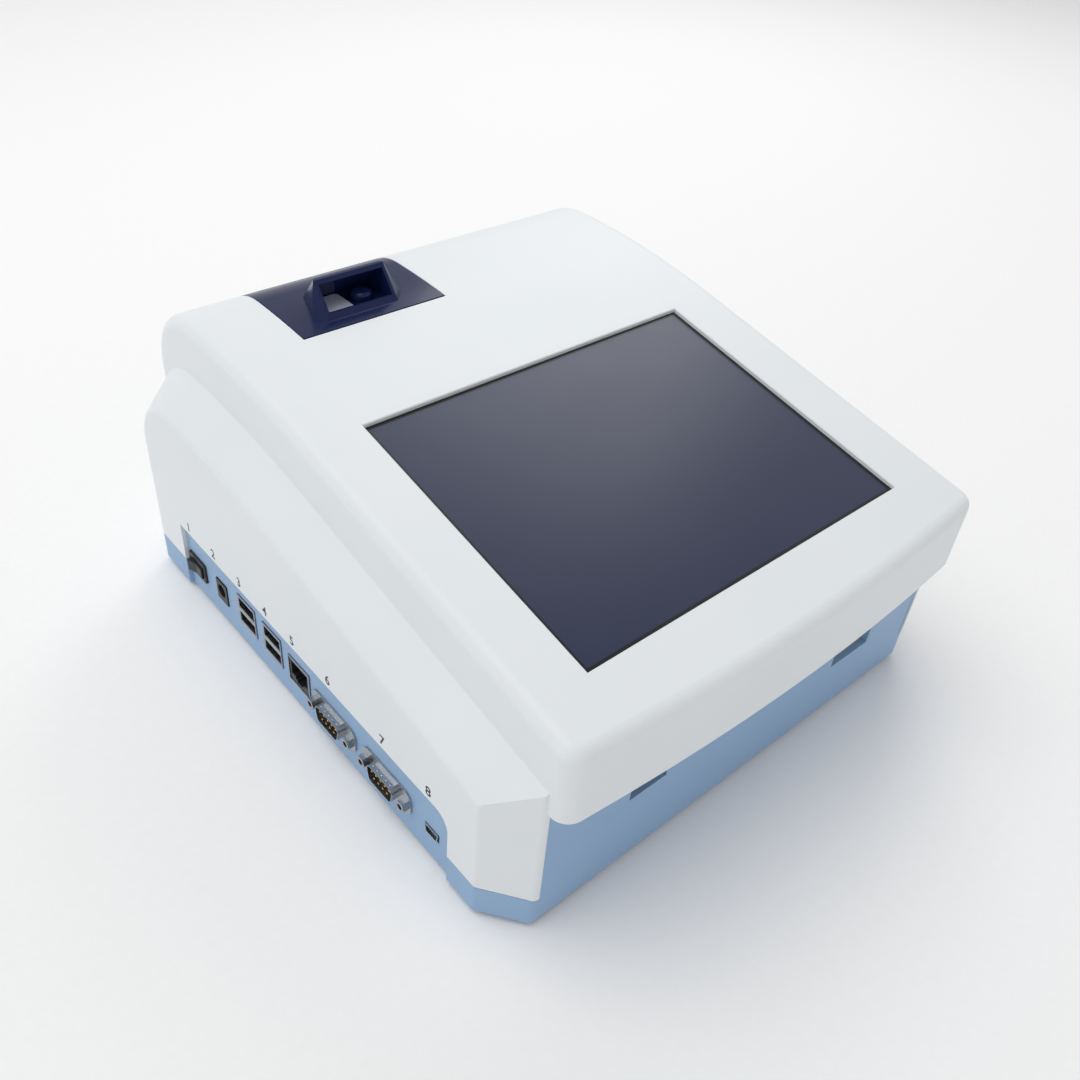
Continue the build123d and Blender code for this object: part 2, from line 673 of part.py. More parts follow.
# one bent spring contact, then eight in a row
with BuildPart() as lan_contact:
    with BuildSketch(Plane.XZ.offset(-lan_y)):
        with BuildLine():
            Polyline((mouth + 12.9, lan_z + 4.3), (mouth + 3.6, lan_z + 4.3), (mouth + 10.4, lan_z + 2.0),
                     (mouth + 10.6, lan_z + 2.4), (mouth + 5.2, lan_z + 4.0), (mouth + 12.9, lan_z + 4.0),
                     (mouth + 12.9, lan_z + 4.3))
        make_face()
    extrude(amount=0.2, both=True)
with BuildPart() as lan_contacts:
    for k in range(8):
        add(Pos(0, (k - 3.5) * 1.016, 0) * lan_contact.part)
lan_contacts.part.label = "lan_contacts"
export_step(lan_contacts.part, "parts/lan_contacts.step")

with BuildPart() as dc_jack:
    add(socket_box(dc_y, board_top + dc_h / 2, dc_w, dc_h, dc_l))
    with BuildSketch(port):
        with Locations((dc_y, board_top + dc_h / 2 + 0.6)):
            Circle(3.2)
    extrude(amount=dc_l - 3, mode=Mode.SUBTRACT)
dc_jack.part.label = "dc_jack"
export_step(dc_jack.part, "parts/dc_jack.step")

with BuildPart() as dc_pin:
    with BuildSketch(Plane.YZ.offset(mouth + 2)):
        with Locations((dc_y, board_top + dc_h / 2 + 0.6)):
            Circle(1.05)
    extrude(amount=dc_l - 5)
    chamfer(dc_pin.edges().sort_by(Axis.X)[0], length=0.4)
dc_pin.part.label = "dc_pin"
export_step(dc_pin.part, "parts/dc_pin.step")


def d_outline(width, height, lean, radius):
    # the D shape of a serial socket: wide side up
    with BuildSketch() as shape:
        with BuildLine():
            Polyline((-width / 2, height / 2), (width / 2, height / 2),
                     (width / 2 - lean, -height / 2), (-width / 2 + lean, -height / 2), (-width / 2, height / 2))
        make_face()
        fillet(shape.vertices(), radius=radius)
    return shape.sketch


shell_l = 3.0            # stands this far out of its flange
for name, y in zip(("com1_shell", "com2_shell"), (com1_y, com2_y)):
    with BuildPart() as com_shell:
        with BuildSketch(Plane.YZ.offset(panel_x - flange_t)):
            with Locations((y, com_z)):
                RectangleRounded(flange_w, flange_h, 4.5)
            with Locations((y - com_screw_gap / 2, com_z), (y + com_screw_gap / 2, com_z)):
                Circle(1.6, mode=Mode.SUBTRACT)
        extrude(amount=flange_t)
        with BuildSketch(Plane.YZ.offset(panel_x - flange_t - shell_l)):
            with Locations((y, com_z)):
                add(d_outline(17.0, 8.4, 1.5, 2.4))
        extrude(amount=shell_l)
        with BuildSketch(Plane.YZ.offset(panel_x - flange_t - shell_l)):
            with Locations((y, com_z)):
                add(d_outline(16.2, 7.6, 1.4, 2.0))
        extrude(amount=shell_l + flange_t, mode=Mode.SUBTRACT)
        # can behind the panel
        with BuildSketch(Plane.YZ.offset(panel_x)):
            with Locations((y, com_z)):
                Rectangle(18.6, 9.1)
                add(d_outline(16.2, 7.6, 1.4, 2.0), mode=Mode.SUBTRACT)
        extrude(amount=9.0)
    com_shell.part.label = name
    export_step(com_shell.part, "parts/" + name + ".step")

pin_rows = [(k * 2.77, 1.42) for k in (-2, -1, 0, 1, 2)]
pin_rows += [(k * 2.77, -1.42) for k in (-1.5, -0.5, 0.5, 1.5)]
with BuildPart() as com_inserts:
    for y in (com1_y, com2_y):
        with BuildSketch(Plane.YZ.offset(panel_x - flange_t)):
            with Locations((y, com_z)):
                add(d_outline(15.8, 7.2, 1.35, 1.8))
            with Locations(*[(y + a, com_z + b) for a, b in pin_rows]):
                Circle(0.75, mode=Mode.SUBTRACT)
        extrude(amount=flange_t + 8.8)
com_inserts.part.label = "com_inserts"
export_step(com_inserts.part, "parts/com_inserts.step")

with BuildPart() as com_pins:
    for y in (com1_y, com2_y):
        with BuildSketch(Plane.YZ.offset(panel_x - flange_t - shell_l + 0.6)):
            with Locations(*[(y + a, com_z + b) for a, b in pin_rows]):
                Circle(0.5)
        extrude(amount=9.1 + shell_l)
com_pins.part.label = "com_pins"
export_step(com_pins.part, "parts/com_pins.step")

jack_at = [(y + side * com_screw_gap / 2, com_z) for y in (com1_y, com2_y) for side in (-1, 1)]
hex_l = 2.8
with BuildPart() as jack_screws:
    face = panel_x - flange_t - hex_l
    with BuildSketch(Plane.YZ.offset(face)):
        with Locations(*jack_at):
            RegularPolygon(2.75, 6)
    extrude(amount=hex_l)
    with BuildSketch(Plane.YZ.offset(panel_x - flange_t)):
        with Locations(*jack_at):
            Circle(1.3)
    extrude(amount=flange_t + panel_t + 3)
    with BuildSketch(Plane.YZ.offset(face)):
        with Locations(*jack_at):
            Circle(1.25)
    extrude(amount=hex_l - 0.4, mode=Mode.SUBTRACT)
jack_screws.part.label = "jack_screws"
export_step(jack_screws.part, "parts/jack_screws.step")

with BuildPart() as mini_usb:
    with BuildSketch(port):
        with Locations((mini_y, mini_z)):
            add(d_outline(mini_w, mini_h, 0.6, 0.5))
        with Locations((mini_y, mini_z)):
            add(d_outline(mini_w - 0.8, mini_h - 0.8, 0.6, 0.4), mode=Mode.SUBTRACT)
    extrude(amount=9.2)
    with BuildSketch(Plane.YZ.offset(mouth + 8.4)):
        with Locations((mini_y, (board_top + mini_z + mini_h / 2) / 2)):
            Rectangle(mini_w, mini_z + mini_h / 2 - board_top)
    extrude(amount=1.6)
    with BuildSketch(Plane.YZ.offset(panel_in + 0.4)):
        with Locations((mini_y, (board_top + mini_z - mini_h / 2 + 0.2) / 2)):
            Rectangle(mini_w - 1.2, mini_z - mini_h / 2 + 0.2 - board_top)
    extrude(amount=6)
    with BuildSketch(Plane.YZ.offset(mouth + 1.5)):
        with Locations((mini_y, mini_z + 0.2)):
            Rectangle(4.2, 0.9)
    extrude(amount=8)
mini_usb.part.label = "mini_usb"
export_step(mini_usb.part, "parts/mini_usb.step")

# power switch
rocker_l, rocker_w, rocker_pin_r = 10.2, 5.4, 0.9
pivot_deep, tilt = 1.0, 9.0
stub_l = 0.9
body_l, body_w = switch_l - 1.6, switch_w - 2.0
with BuildPart() as power_switch:
    with BuildSketch(Plane.YZ.offset(panel_x - 1.2)):
        with Locations((switch_y, switch_z)):
            RectangleRounded(switch_l, switch_w, 1.0)
    extrude(amount=1.2)
    fillet(power_switch.edges().group_by(Axis.X)[0], radius=0.5)
    with BuildSketch(Plane.YZ.offset(panel_x)):
        with Locations((switch_y, switch_z)):
            Rectangle(body_l, body_w)
    extrude(amount=switch_deep)
    with BuildSketch(Plane.YZ.offset(panel_x - 1.2)):
        with Locations((switch_y, switch_z)):
            Rectangle(body_l - 1.2, rocker_w + 0.7)
    extrude(amount=8.0, mode=Mode.SUBTRACT)
    with BuildSketch(Plane.XY.offset(switch_z - rocker_w / 2 - stub_l - 0.1)):
        with Locations((panel_x + pivot_deep, switch_y)):
            Circle(rocker_pin_r + run_gap)
    extrude(amount=rocker_w + 2 * stub_l + 0.2, mode=Mode.SUBTRACT)
    for y in (-4.0, 4.0):
        with Locations((panel_x + switch_deep, switch_y + y, switch_z)):
            Box(7, 0.8, 4.8, align=(Align.MIN, Align.CENTER, Align.CENTER))
power_switch.part.label = "power_switch"
export_step(power_switch.part, "parts/power_switch.step")

with BuildPart() as power_rocker:
    end = rocker_l / 2
    with BuildSketch(Plane.XY.offset(switch_z - rocker_w / 2)) as face:
        with BuildLine():
            Polyline((2, -end), (-3, -end), (-2, 0), (-3, end), (2, end), (4, 2), (4, -2), (2, -end))
        make_face()
        fillet(face.vertices().filter_by(lambda v: v.X < -2.5), radius=0.5)
    extrude(amount=rocker_w)
    with BuildSketch(Plane.XY.offset(switch_z - rocker_w / 2 - stub_l)):
        with Locations((pivot_deep, 0)):
            Circle(rocker_pin_r)
    extrude(amount=rocker_w + 2 * stub_l)
rocker = Pos(panel_x + pivot_deep, switch_y, 0) * Rot(0, 0, tilt) * Pos(-pivot_deep, 0, 0) * power_rocker.part
rocker.label = "power_rocker"
export_step(rocker, "parts/power_rocker.step")

# printer bay under the lid
with BuildPart() as printer_bay:
    with BuildSketch(Plane.XY.offset(bay_floor)):
        with Locations((lid_mid, bay_mid_y)):
            Rectangle(bay_x1 - bay_x0, bay_y1 - bay_y0)
    extrude(amount=bay_rim - bay_floor)
    with BuildSketch(Plane.XY.offset(bay_floor + bay_wall)):
        with Locations((lid_mid, bay_mid_y)):
            Rectangle(bay_x1 - bay_x0 - 2 * bay_wall, bay_y1 - bay_y0 - 2 * bay_wall)
    extrude(amount=bay_rim, mode=Mode.SUBTRACT)
    # shelf for the print head, and two blocks that keep the roll in place
    with BuildSketch(Plane.XY.offset(head_foot - 4)):
        with Locations((lid_mid, bay_y0 + 5)):
            Rectangle(bay_x1 - bay_x0 - 1, 9.6)
    extrude(amount=4)
    for x in (bay_x0 + 2.6, bay_x1 - 2.6):
        with BuildSketch(Plane.YZ.offset(x - 1.1)):
            with Locations((roll_y, bay_floor + 11)):
                Rectangle(22, 21)
        extrude(amount=2.2)
    with BuildSketch(Plane.XY.offset(lug_h - lug_t)):
        with Locations(*lug_at):
            Circle(lug_r)
        for x, y in lug_at:
            with Locations(((x + (bay_x0 if x < lid_mid else bay_x1)) / 2, y)):
                Rectangle(5.2, 2 * lug_r)
        with Locations(*lug_at):
            Circle(1.6, mode=Mode.SUBTRACT)
    extrude(amount=lug_t)
printer_bay.part.label = "printer_bay"
export_step(printer_bay.part, "parts/printer_bay.step")

under_lugs = Plane(origin=(0, 0, lug_h - lug_t), x_dir=(1, 0, 0), z_dir=(0, 0, -1))
bay_screws = screws(under_lugs, [(x, -y) for x, y in lug_at], 2.5, 1.8, 1.0, 8.0)
bay_screws.label = "bay_screws"
export_step(bay_screws, "parts/bay_screws.step")

with BuildPart() as print_head:
    with BuildSketch(Plane.YZ.offset(lid_mid - roller_l / 2 - 1)):
        with BuildLine():
            Polyline((roller_y - 5, head_foot), (roller_y + 1.4, head_foot), (roller_y + 1.4, head_foot + 4),
                     (roller_y + 4, head_foot + 7), (roller_y + 4, head_top - 1), (roller_y + 2, head_top),
                     (roller_y - 2, head_top), (roller_y - 5, head_top - 2.2), (roller_y - 5, head_foot))
        make_face()
    extrude(amount=roller_l + 2)
    for x in (-20, -10, 0, 10, 20):
        with Locations((lid_mid + x, roller_y - 5, head_foot + 3.5)):
            Box(5, 1.6, 3, mode=Mode.SUBTRACT)
print_head.part.label = "print_head"
export_step(print_head.part, "parts/print_head.step")

with BuildPart() as print_strip:
    with Locations((lid_mid, roller_y, head_top)):
        Box(roller_l - 4, 1.2, 0.2, align=(Align.CENTER, Align.CENTER, Align.MIN))
print_strip.part.label = "print_strip"
export_step(print_strip.part, "parts/print_strip.step")

with BuildPart() as paper_roll:
    with BuildSketch(Plane.YZ.offset(lid_mid - roll_l / 2)):
        with Locations((roll_y, roll_z)):
            Circle(roll_r)
            Circle(6.5, mode=Mode.SUBTRACT)
    extrude(amount=roll_l)
paper_roll.part.label = "paper_roll"
export_step(paper_roll.part, "parts/paper_roll.step")

with BuildPart() as roll_core:
    with BuildSketch(Plane.YZ.offset(lid_mid - roll_l / 2)):
        with Locations((roll_y, roll_z)):
            Circle(6.4)
            Circle(5.6, mode=Mode.SUBTRACT)
    extrude(amount=roll_l)
roll_core.part.label = "roll_core"
export_step(roll_core.part, "parts/roll_core.step")

with BuildPart() as printer_motor:
    with BuildSketch(Plane.YZ.offset(bay_x1 + seat_gap)):
        with Locations((bay_y0 + 13.8, bay_floor + 13)):
            Circle(7.5)
    extrude(amount=12)
    with BuildSketch(Plane.YZ.offset(bay_x1 + seat_gap)):
        with Locations((bay_y0 + 13.8, bay_floor + 13)):
            SlotCenterToCenter(18, 7)
    extrude(amount=1)
    with BuildSketch(Plane.YZ.offset(bay_x1 + 12 + seat_gap)):
        with Locations((bay_y0 + 13.8, bay_floor + 13)):
            Circle(2.5)
    extrude(amount=1.2)
printer_motor.part.label = "printer_motor"
export_step(printer_motor.part, "parts/printer_motor.step")

# lid
# the grip: a six-sided scoop that leans back to a ridge, open in front
ridge_y, ridge_z = lid_front + 16.5, crest_h + 12
scoop_front, scoop_back = lid_front + 5.4, lid_front + 29.4
scoop_x0, scoop_x1, scoop_flare = lid_x0 + 15.3, lid_x1 - 19.3, 5.2
floor_in = crest_h - 1.6
sill_back, sill_top = scoop_front + 3.2, crest_h + 1.2
lid_plate = lid_skin(lid_x0, lid_x1, lid_front, hinge_y + knuckle_r * sin(radians(knuckle_turn)), lid_t)
with BuildPart() as printer_lid:
    add(lid_plate)
    with BuildSketch(Plane.XY.offset(floor_in)):
        with BuildLine():
            Polyline((scoop_x0, scoop_front), (scoop_x0 - scoop_flare, scoop_front + 5), (scoop_x0 + 1.4, scoop_back),
                     (scoop_x1 - 1.4, scoop_back), (scoop_x1 + scoop_flare, scoop_front + 5), (scoop_x1, scoop_front),
                     (scoop_x0, scoop_front))
        make_face()
    with BuildSketch(Plane.XY.offset(ridge_z)):
        with BuildLine():
            Polyline((scoop_x0, ridge_y), (scoop_x0, ridge_y + 0.4), (scoop_x0 + 1.2, ridge_y + 1.6),
                     (scoop_x1 - 1.2, ridge_y + 1.6), (scoop_x1, ridge_y + 0.4), (scoop_x1, ridge_y), (scoop_x0, ridge_y))
        make_face()
    loft(ruled=True)
    with BuildSketch(Plane.YZ.offset(scoop_x0 + 1.4)):
        with BuildLine():
            Polyline((sill_back, floor_in), (scoop_back - 3, floor_in), (ridge_y + 0.6, ridge_z - 1.6),
                     (scoop_front - 3, ridge_z - 1.6), (scoop_front - 3, sill_top), (sill_back, sill_top),
                     (sill_back, floor_in))
        make_face()
    extrude(amount=scoop_x1 - scoop_x0 - 2.8, mode=Mode.SUBTRACT)
    # a round button shape standing in the scoop
    with BuildSketch(Plane.XY.offset(floor_in - 0.5)):
        with Locations((scoop_x1 - 10.8, ridge_y + 0.3)):
            Circle(4.5)
    extrude(amount=4.5)
    button = printer_lid.edges().filter_by(GeomType.CIRCLE)
    fillet(button.filter_by(lambda e: abs(e.center().Z - floor_in - 4) < 0.01), radius=1.8)
    # barrel for the pin
    with BuildSketch(Plane.YZ.offset(lid_x0)):
        with Locations((hinge_y, hinge_z)):
            Circle(knuckle_r)
    extrude(amount=lid_x1 - lid_x0)
    # ears for the platen roller
    for x in (lid_mid - roller_l / 2 - 0.5 - ear_t, lid_mid + roller_l / 2 + 0.5):
        with BuildSketch(Plane.YZ.offset(x)):
            with Locations((roller_y, roller_z)):
                Circle(3.5)
            with Locations((roller_y, (roller_z + crest_h - 2.4) / 2)):
                Rectangle(7.0, crest_h - 2.4 - roller_z)
        extrude(amount=ear_t)
    with BuildSketch(Plane.YZ.offset(lid_x0)):
        with Locations((hinge_y, hinge_z)):
            Circle(pin_r + run_gap)
        with Locations((roller_y, roller_z)):
            Circle(axle_r + run_gap)
    extrude(amount=lid_x1 - lid_x0, mode=Mode.SUBTRACT)
printer_lid.part.label = "printer_lid"
export_step(printer_lid.part, "parts/printer_lid.step")

with BuildPart() as grip_pad:
    with BuildSketch(Plane.XY.offset(floor_in)):
        with Locations((scoop_x0 + 8.7, scoop_back - 12)):
            RectangleRounded(13.6, 16.2, 1.6)
    extrude(amount=0.6)
grip_pad.part.label = "grip_pad"
export_step(grip_pad.part, "parts/grip_pad.step")

with BuildPart() as lid_pin:
    with BuildSketch(Plane.YZ.offset(pin_x0)):
        with Locations((hinge_y, hinge_z)):
            Circle(pin_r)
    extrude(amount=pin_x1 - pin_x0)
lid_pin.part.label = "lid_pin"
export_step(lid_pin.part, "parts/lid_pin.step")

with BuildPart() as platen_roller:
    with BuildSketch(Plane.YZ.offset(lid_mid - roller_l / 2)):
        with Locations((roller_y, roller_z)):
            Circle(roller_r)
            Circle(axle_r + 0.3, mode=Mode.SUBTRACT)
    extrude(amount=roller_l)
platen_roller.part.label = "platen_roller"
export_step(platen_roller.part, "parts/platen_roller.step")

with BuildPart() as platen_axle:
    with BuildSketch(Plane.YZ.offset(lid_mid - roller_l / 2 - 0.5 - ear_t)):
        with Locations((roller_y, roller_z)):
            Circle(axle_r)
    extrude(amount=roller_l + 1 + 2 * ear_t)
platen_axle.part.label = "platen_axle"
export_step(platen_axle.part, "parts/platen_axle.step")

# card reader behind the right-hand slot
inner_y = front_wall_y + wall
guide_w, guide_l = 29.4, 47.5
bench_top, guide_top = card_z - 3.7, card_z + card_h + 2.3
rod_at = [(card_x - 13.2, guide_top + 5), (card_x + 13.2, guide_top + 5)]
rod_z, rod_r = guide_top + 5, 2.0
drive_z, drive_r = rod_z + 6, 1.8
bench_y0, bench_l, bench_w = inner_y + 18.5, 122.0, 38.0
upright_y0, upright_y1, upright_t = inner_y + guide_l + 4, bench_y0 + bench_l - 3, 2.5
reader_y = upright_y0 + 36
tray_y0, tray_y1 = upright_y0 + 4, upright_y1 - 6
head_w, head_l, head_tall = 34.0, 28.0, 24.0
with BuildPart() as card_guide:
    with BuildSketch(Plane.XZ.offset(-inner_y - seat_gap)):
        with Locations((card_x, (bench_top + guide_top) / 2)):
            Rectangle(guide_w, guide_top - bench_top)
        with Locations((card_x, card_z + card_h / 2)):
            Rectangle(card_w - 0.6, card_h - 0.4, mode=Mode.SUBTRACT)
    extrude(amount=-guide_l)
card_guide.part.label = "card_guide"
export_step(card_guide.part, "parts/card_guide.step")

with BuildPart() as bench_frame:
    with BuildSketch(Plane.XY.offset(bench_top - 3)):
        with Locations((card_x, bench_y0 + bench_l / 2)):
            Rectangle(bench_w, bench_l)
            with GridLocations(18, 56, 1, 2):
                SlotOverall(24, 14, mode=Mode.SUBTRACT)
    extrude(amount=3)
    for y in (upright_y0, upright_y1):
        with BuildSketch(Plane.XZ.offset(-y)):
            with Locations((card_x, (bench_top + drive_z + 8) / 2)):
                Rectangle(bench_w - 2, drive_z + 8 - bench_top)
            with Locations((card_x, bench_top + 9.5)):
                Rectangle(card_w + 0.7, 13, mode=Mode.SUBTRACT)
            with Locations(*rod_at):
                Circle(rod_r + 0.1, mode=Mode.SUBTRACT)
            with Locations((card_x, drive_z)):
                Circle(drive_r + 0.7, mode=Mode.SUBTRACT)
        extrude(amount=-upright_t)
    with BuildSketch(Plane.XY.offset(floor_z)):
        with Locations(*[(x, y) for x in (card_x - 14, card_x + 14)
                         for y in (bench_y0 + 5, bench_y0 + bench_l - 5)]):
            Circle(4.0)
    extrude(amount=bench_top - 3 - floor_z)
bench_frame.part.label = "bench_frame"
export_step(bench_frame.part, "parts/bench_frame.step")

with BuildPart() as guide_rods:
    with BuildSketch(Plane.XZ.offset(-upright_y0)):
        with Locations(*rod_at):
            Circle(rod_r)
    extrude(amount=-(upright_y1 + upright_t - upright_y0))
guide_rods.part.label = "guide_rods"
export_step(guide_rods.part, "parts/guide_rods.step")

lens_r = 3.5
with BuildPart() as scan_head:
    with Locations((card_x, reader_y, rod_z - 3)):
        Box(head_w, head_l, head_tall, align=(Align.CENTER, Align.CENTER, Align.MIN))
    fillet(scan_head.edges().filter_by(Axis.Z), radius=2)
    with BuildSketch(Plane.XY.offset(rod_z - 3)):
        with Locations((card_x, reader_y)):
            Circle(lens_r + 2.0)
    extrude(amount=-6)
    with BuildSketch(Plane.XZ.offset(-reader_y)):
        with Locations(*rod_at):
            Circle(rod_r + 0.1)
        with Locations((card_x, drive_z)):
            Circle(drive_r + 0.1)
    extrude(amount=20, both=True, mode=Mode.SUBTRACT)
    with BuildSketch(Plane.XY.offset(rod_z - 9)):
        with Locations((card_x, reader_y)):
            Circle(lens_r + 0.1)
    extrude(amount=8, mode=Mode.SUBTRACT)
scan_head.part.label = "scan_head"
export_step(scan_head.part, "parts/scan_head.step")

with BuildPart() as scan_lens:
    with BuildSketch(Plane.XY.offset(rod_z - 7)):
        with Locations((card_x, reader_y)):
            Circle(lens_r)
    extrude(amount=2.5)
    chamfer(scan_lens.edges().group_by(Axis.Z)[0], length=0.8)
scan_lens.part.label = "scan_lens"
export_step(scan_lens.part, "parts/scan_lens.step")

with BuildPart() as lead_screw:
    with BuildSketch(Plane.XZ.offset(1.5 - upright_y0)):
        with Locations((card_x, drive_z)):
            Circle(drive_r)
    extrude(amount=-(upright_y1 + upright_t + 1.6 - upright_y0))
lead_screw.part.label = "lead_screw"
export_step(lead_screw.part, "parts/lead_screw.step")

with BuildPart() as scan_motor:
    with BuildSketch(Plane.XZ.offset(-upright_y1 - upright_t - seat_gap)):
        with Locations((card_x, drive_z)):
            RectangleRounded(20, 20, 2.5)
    extrude(amount=-16)
scan_motor.part.label = "scan_motor"
export_step(scan_motor.part, "parts/scan_motor.step")

with BuildPart() as card_tray:
    with BuildSketch(Plane.XZ.offset(-tray_y0)):
        with Locations((card_x, bench_top + seat_gap + 3)):
            Rectangle(card_w - 0.3, 6)
        with Locations((card_x, bench_top + seat_gap + 4.6)):
            Rectangle(card_w - 2.9, 3, mode=Mode.SUBTRACT)
    extrude(amount=tray_y0 - tray_y1)
card_tray.part.label = "card_tray"
export_step(card_tray.part, "parts/card_tray.step")

# chip socket behind the left-hand slot
with BuildPart() as chip_socket:
    with BuildSketch(Plane.XZ.offset(-inner_y - seat_gap)):
        with Locations((chip_x, chip_z + chip_h / 2)):
            Rectangle(chip_w + 4, chip_h + 4)
    extrude(amount=-23)
    with BuildSketch(Plane.XZ.offset(-inner_y)):
        with Locations((chip_x, chip_z + chip_h / 2)):
            Rectangle(chip_w - 0.6, chip_h - 0.4)
    extrude(amount=-18, mode=Mode.SUBTRACT)
    with Locations((chip_x, inner_y + 15.5, floor_z)):
        Box(8, 12, chip_z - 1.9 - floor_z, align=(Align.CENTER, Align.CENTER, Align.MIN))
chip_socket.part.label = "chip_socket"
export_step(chip_socket.part, "parts/chip_socket.step")

with BuildPart() as chip_contacts:
    with Locations((chip_x, inner_y + 14.2, chip_z + 0.2)):
        with GridLocations(2.54, 1, 6, 1):
            Box(1.2, 6, 0.6, align=(Align.CENTER, Align.CENTER, Align.MIN))
chip_contacts.part.label = "chip_contacts"
export_step(chip_contacts.part, "parts/chip_contacts.step")

# feet and case screws
with BuildPart() as feet:
    with BuildSketch(Plane.XY):
        with Locations(*foot_at):
            Circle(foot_r)
    extrude(amount=foot_t)
    chamfer(feet.edges().group_by(Axis.Z)[0], length=0.8)
feet.part.label = "feet"
export_step(feet.part, "parts/feet.step")

under_posts = Plane(origin=(0, 0, foot_drop + 5), x_dir=(1, 0, 0), z_dir=(0, 0, -1))
case_screws = screws(under_posts, [(x, -y) for x, y in case_screw_at], 2.9, 2.2, 1.1, 18.0, recess=True)
case_screws.label = "case_screws"
export_step(case_screws, "parts/case_screws.step")
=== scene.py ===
import math

import bmesh
import bpy
from mathutils import Matrix, Vector


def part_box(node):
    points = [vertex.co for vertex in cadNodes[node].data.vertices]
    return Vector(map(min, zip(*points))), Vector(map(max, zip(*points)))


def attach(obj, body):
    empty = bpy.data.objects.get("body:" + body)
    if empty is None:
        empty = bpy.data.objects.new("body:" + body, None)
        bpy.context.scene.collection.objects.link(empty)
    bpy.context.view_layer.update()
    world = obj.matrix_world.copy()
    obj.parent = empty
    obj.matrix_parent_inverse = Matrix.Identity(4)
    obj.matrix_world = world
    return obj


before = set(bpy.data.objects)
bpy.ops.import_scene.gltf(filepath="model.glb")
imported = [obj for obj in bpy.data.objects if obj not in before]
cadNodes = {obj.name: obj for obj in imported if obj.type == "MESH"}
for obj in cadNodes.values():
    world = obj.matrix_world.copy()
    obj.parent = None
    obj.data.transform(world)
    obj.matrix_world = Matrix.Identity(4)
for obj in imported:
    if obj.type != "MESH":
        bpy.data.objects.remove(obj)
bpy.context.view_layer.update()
mm = 0.001
print("frame loaded:", len(cadNodes), "pieces")

camera = {
    "place": (-0.24907, -0.12235, 0.32564),
    "aim": (-0.06601, 0.08166, 0.10799),
    "roll": 3.77,            # degrees, the picture's right side tips up
    "lens": 34.43,
    "shift": (0.0346, -0.0118),
}


def setCamera():
    data = bpy.data.cameras.new("studioCamera")
    data.lens = camera["lens"]
    data.sensor_width = 36
    data.shift_x, data.shift_y = camera["shift"]
    data.clip_start = 0.01
    place, aim = Vector(camera["place"]), Vector(camera["aim"])
    upright = (aim - place).to_track_quat("-Z", "Y").to_matrix()
    turn = upright @ Matrix.Rotation(math.radians(camera["roll"]), 3, "Z")
    eye = bpy.data.objects.new("studioCamera", data)
    eye.matrix_world = Matrix.Translation(place) @ turn.to_4x4()
    bpy.context.scene.collection.objects.link(eye)
    bpy.context.scene.camera = eye


setCamera()


# materials

def linearColour(hexText):
    # sRGB hex to the linear values the shader wants
    parts = [int(hexText[i:i + 2], 16) / 255 for i in (0, 2, 4)]
    return tuple(c / 12.92 if c <= 0.04045 else ((c + 0.055) / 1.055) ** 2.4 for c in parts) + (1.0,)


def addNode(tree, kind, settings=None, links=None):
    # settings are properties or unlinked sockets, links go from a socket into a named or numbered input
    node = tree.nodes.new(kind)
    for name, value in (settings or {}).items():
        if isinstance(name, str) and hasattr(node, name):
            setattr(node, name, value)
        else:
            node.inputs[name].default_value = value
    for name, source in (links or {}).items():
        tree.links.new(source, node.inputs[name])
    return node


def newMaterial(name, settings):
    # an empty tree with one shader, its constants set on the shader's own sockets
    material = bpy.data.materials.new(name)
    material.use_nodes = True
    tree = material.node_tree
    tree.nodes.clear()
    shader = addNode(tree, "ShaderNodeBsdfPrincipled", settings)
    addNode(tree, "ShaderNodeOutputMaterial", None, {"Surface": shader.outputs[0]})
    place = addNode(tree, "ShaderNodeTexCoord")
    return material, tree, shader, place.outputs["Object"]


def colourBetween(tree, amount, low, high):
    # a colour ramp with two stops, driven by a grey value
    ramp = addNode(tree, "ShaderNodeValToRGB", None, {"Fac": amount})
    ramp.color_ramp.elements[0].color = linearColour(low)
    ramp.color_ramp.elements[1].color = linearColour(high)
    return ramp.outputs["Color"]


def valueBetween(tree, amount, low, high):
    part = addNode(tree, "ShaderNodeMapRange", {"To Min": low, "To Max": high}, {"Value": amount})
    return part.outputs["Result"]


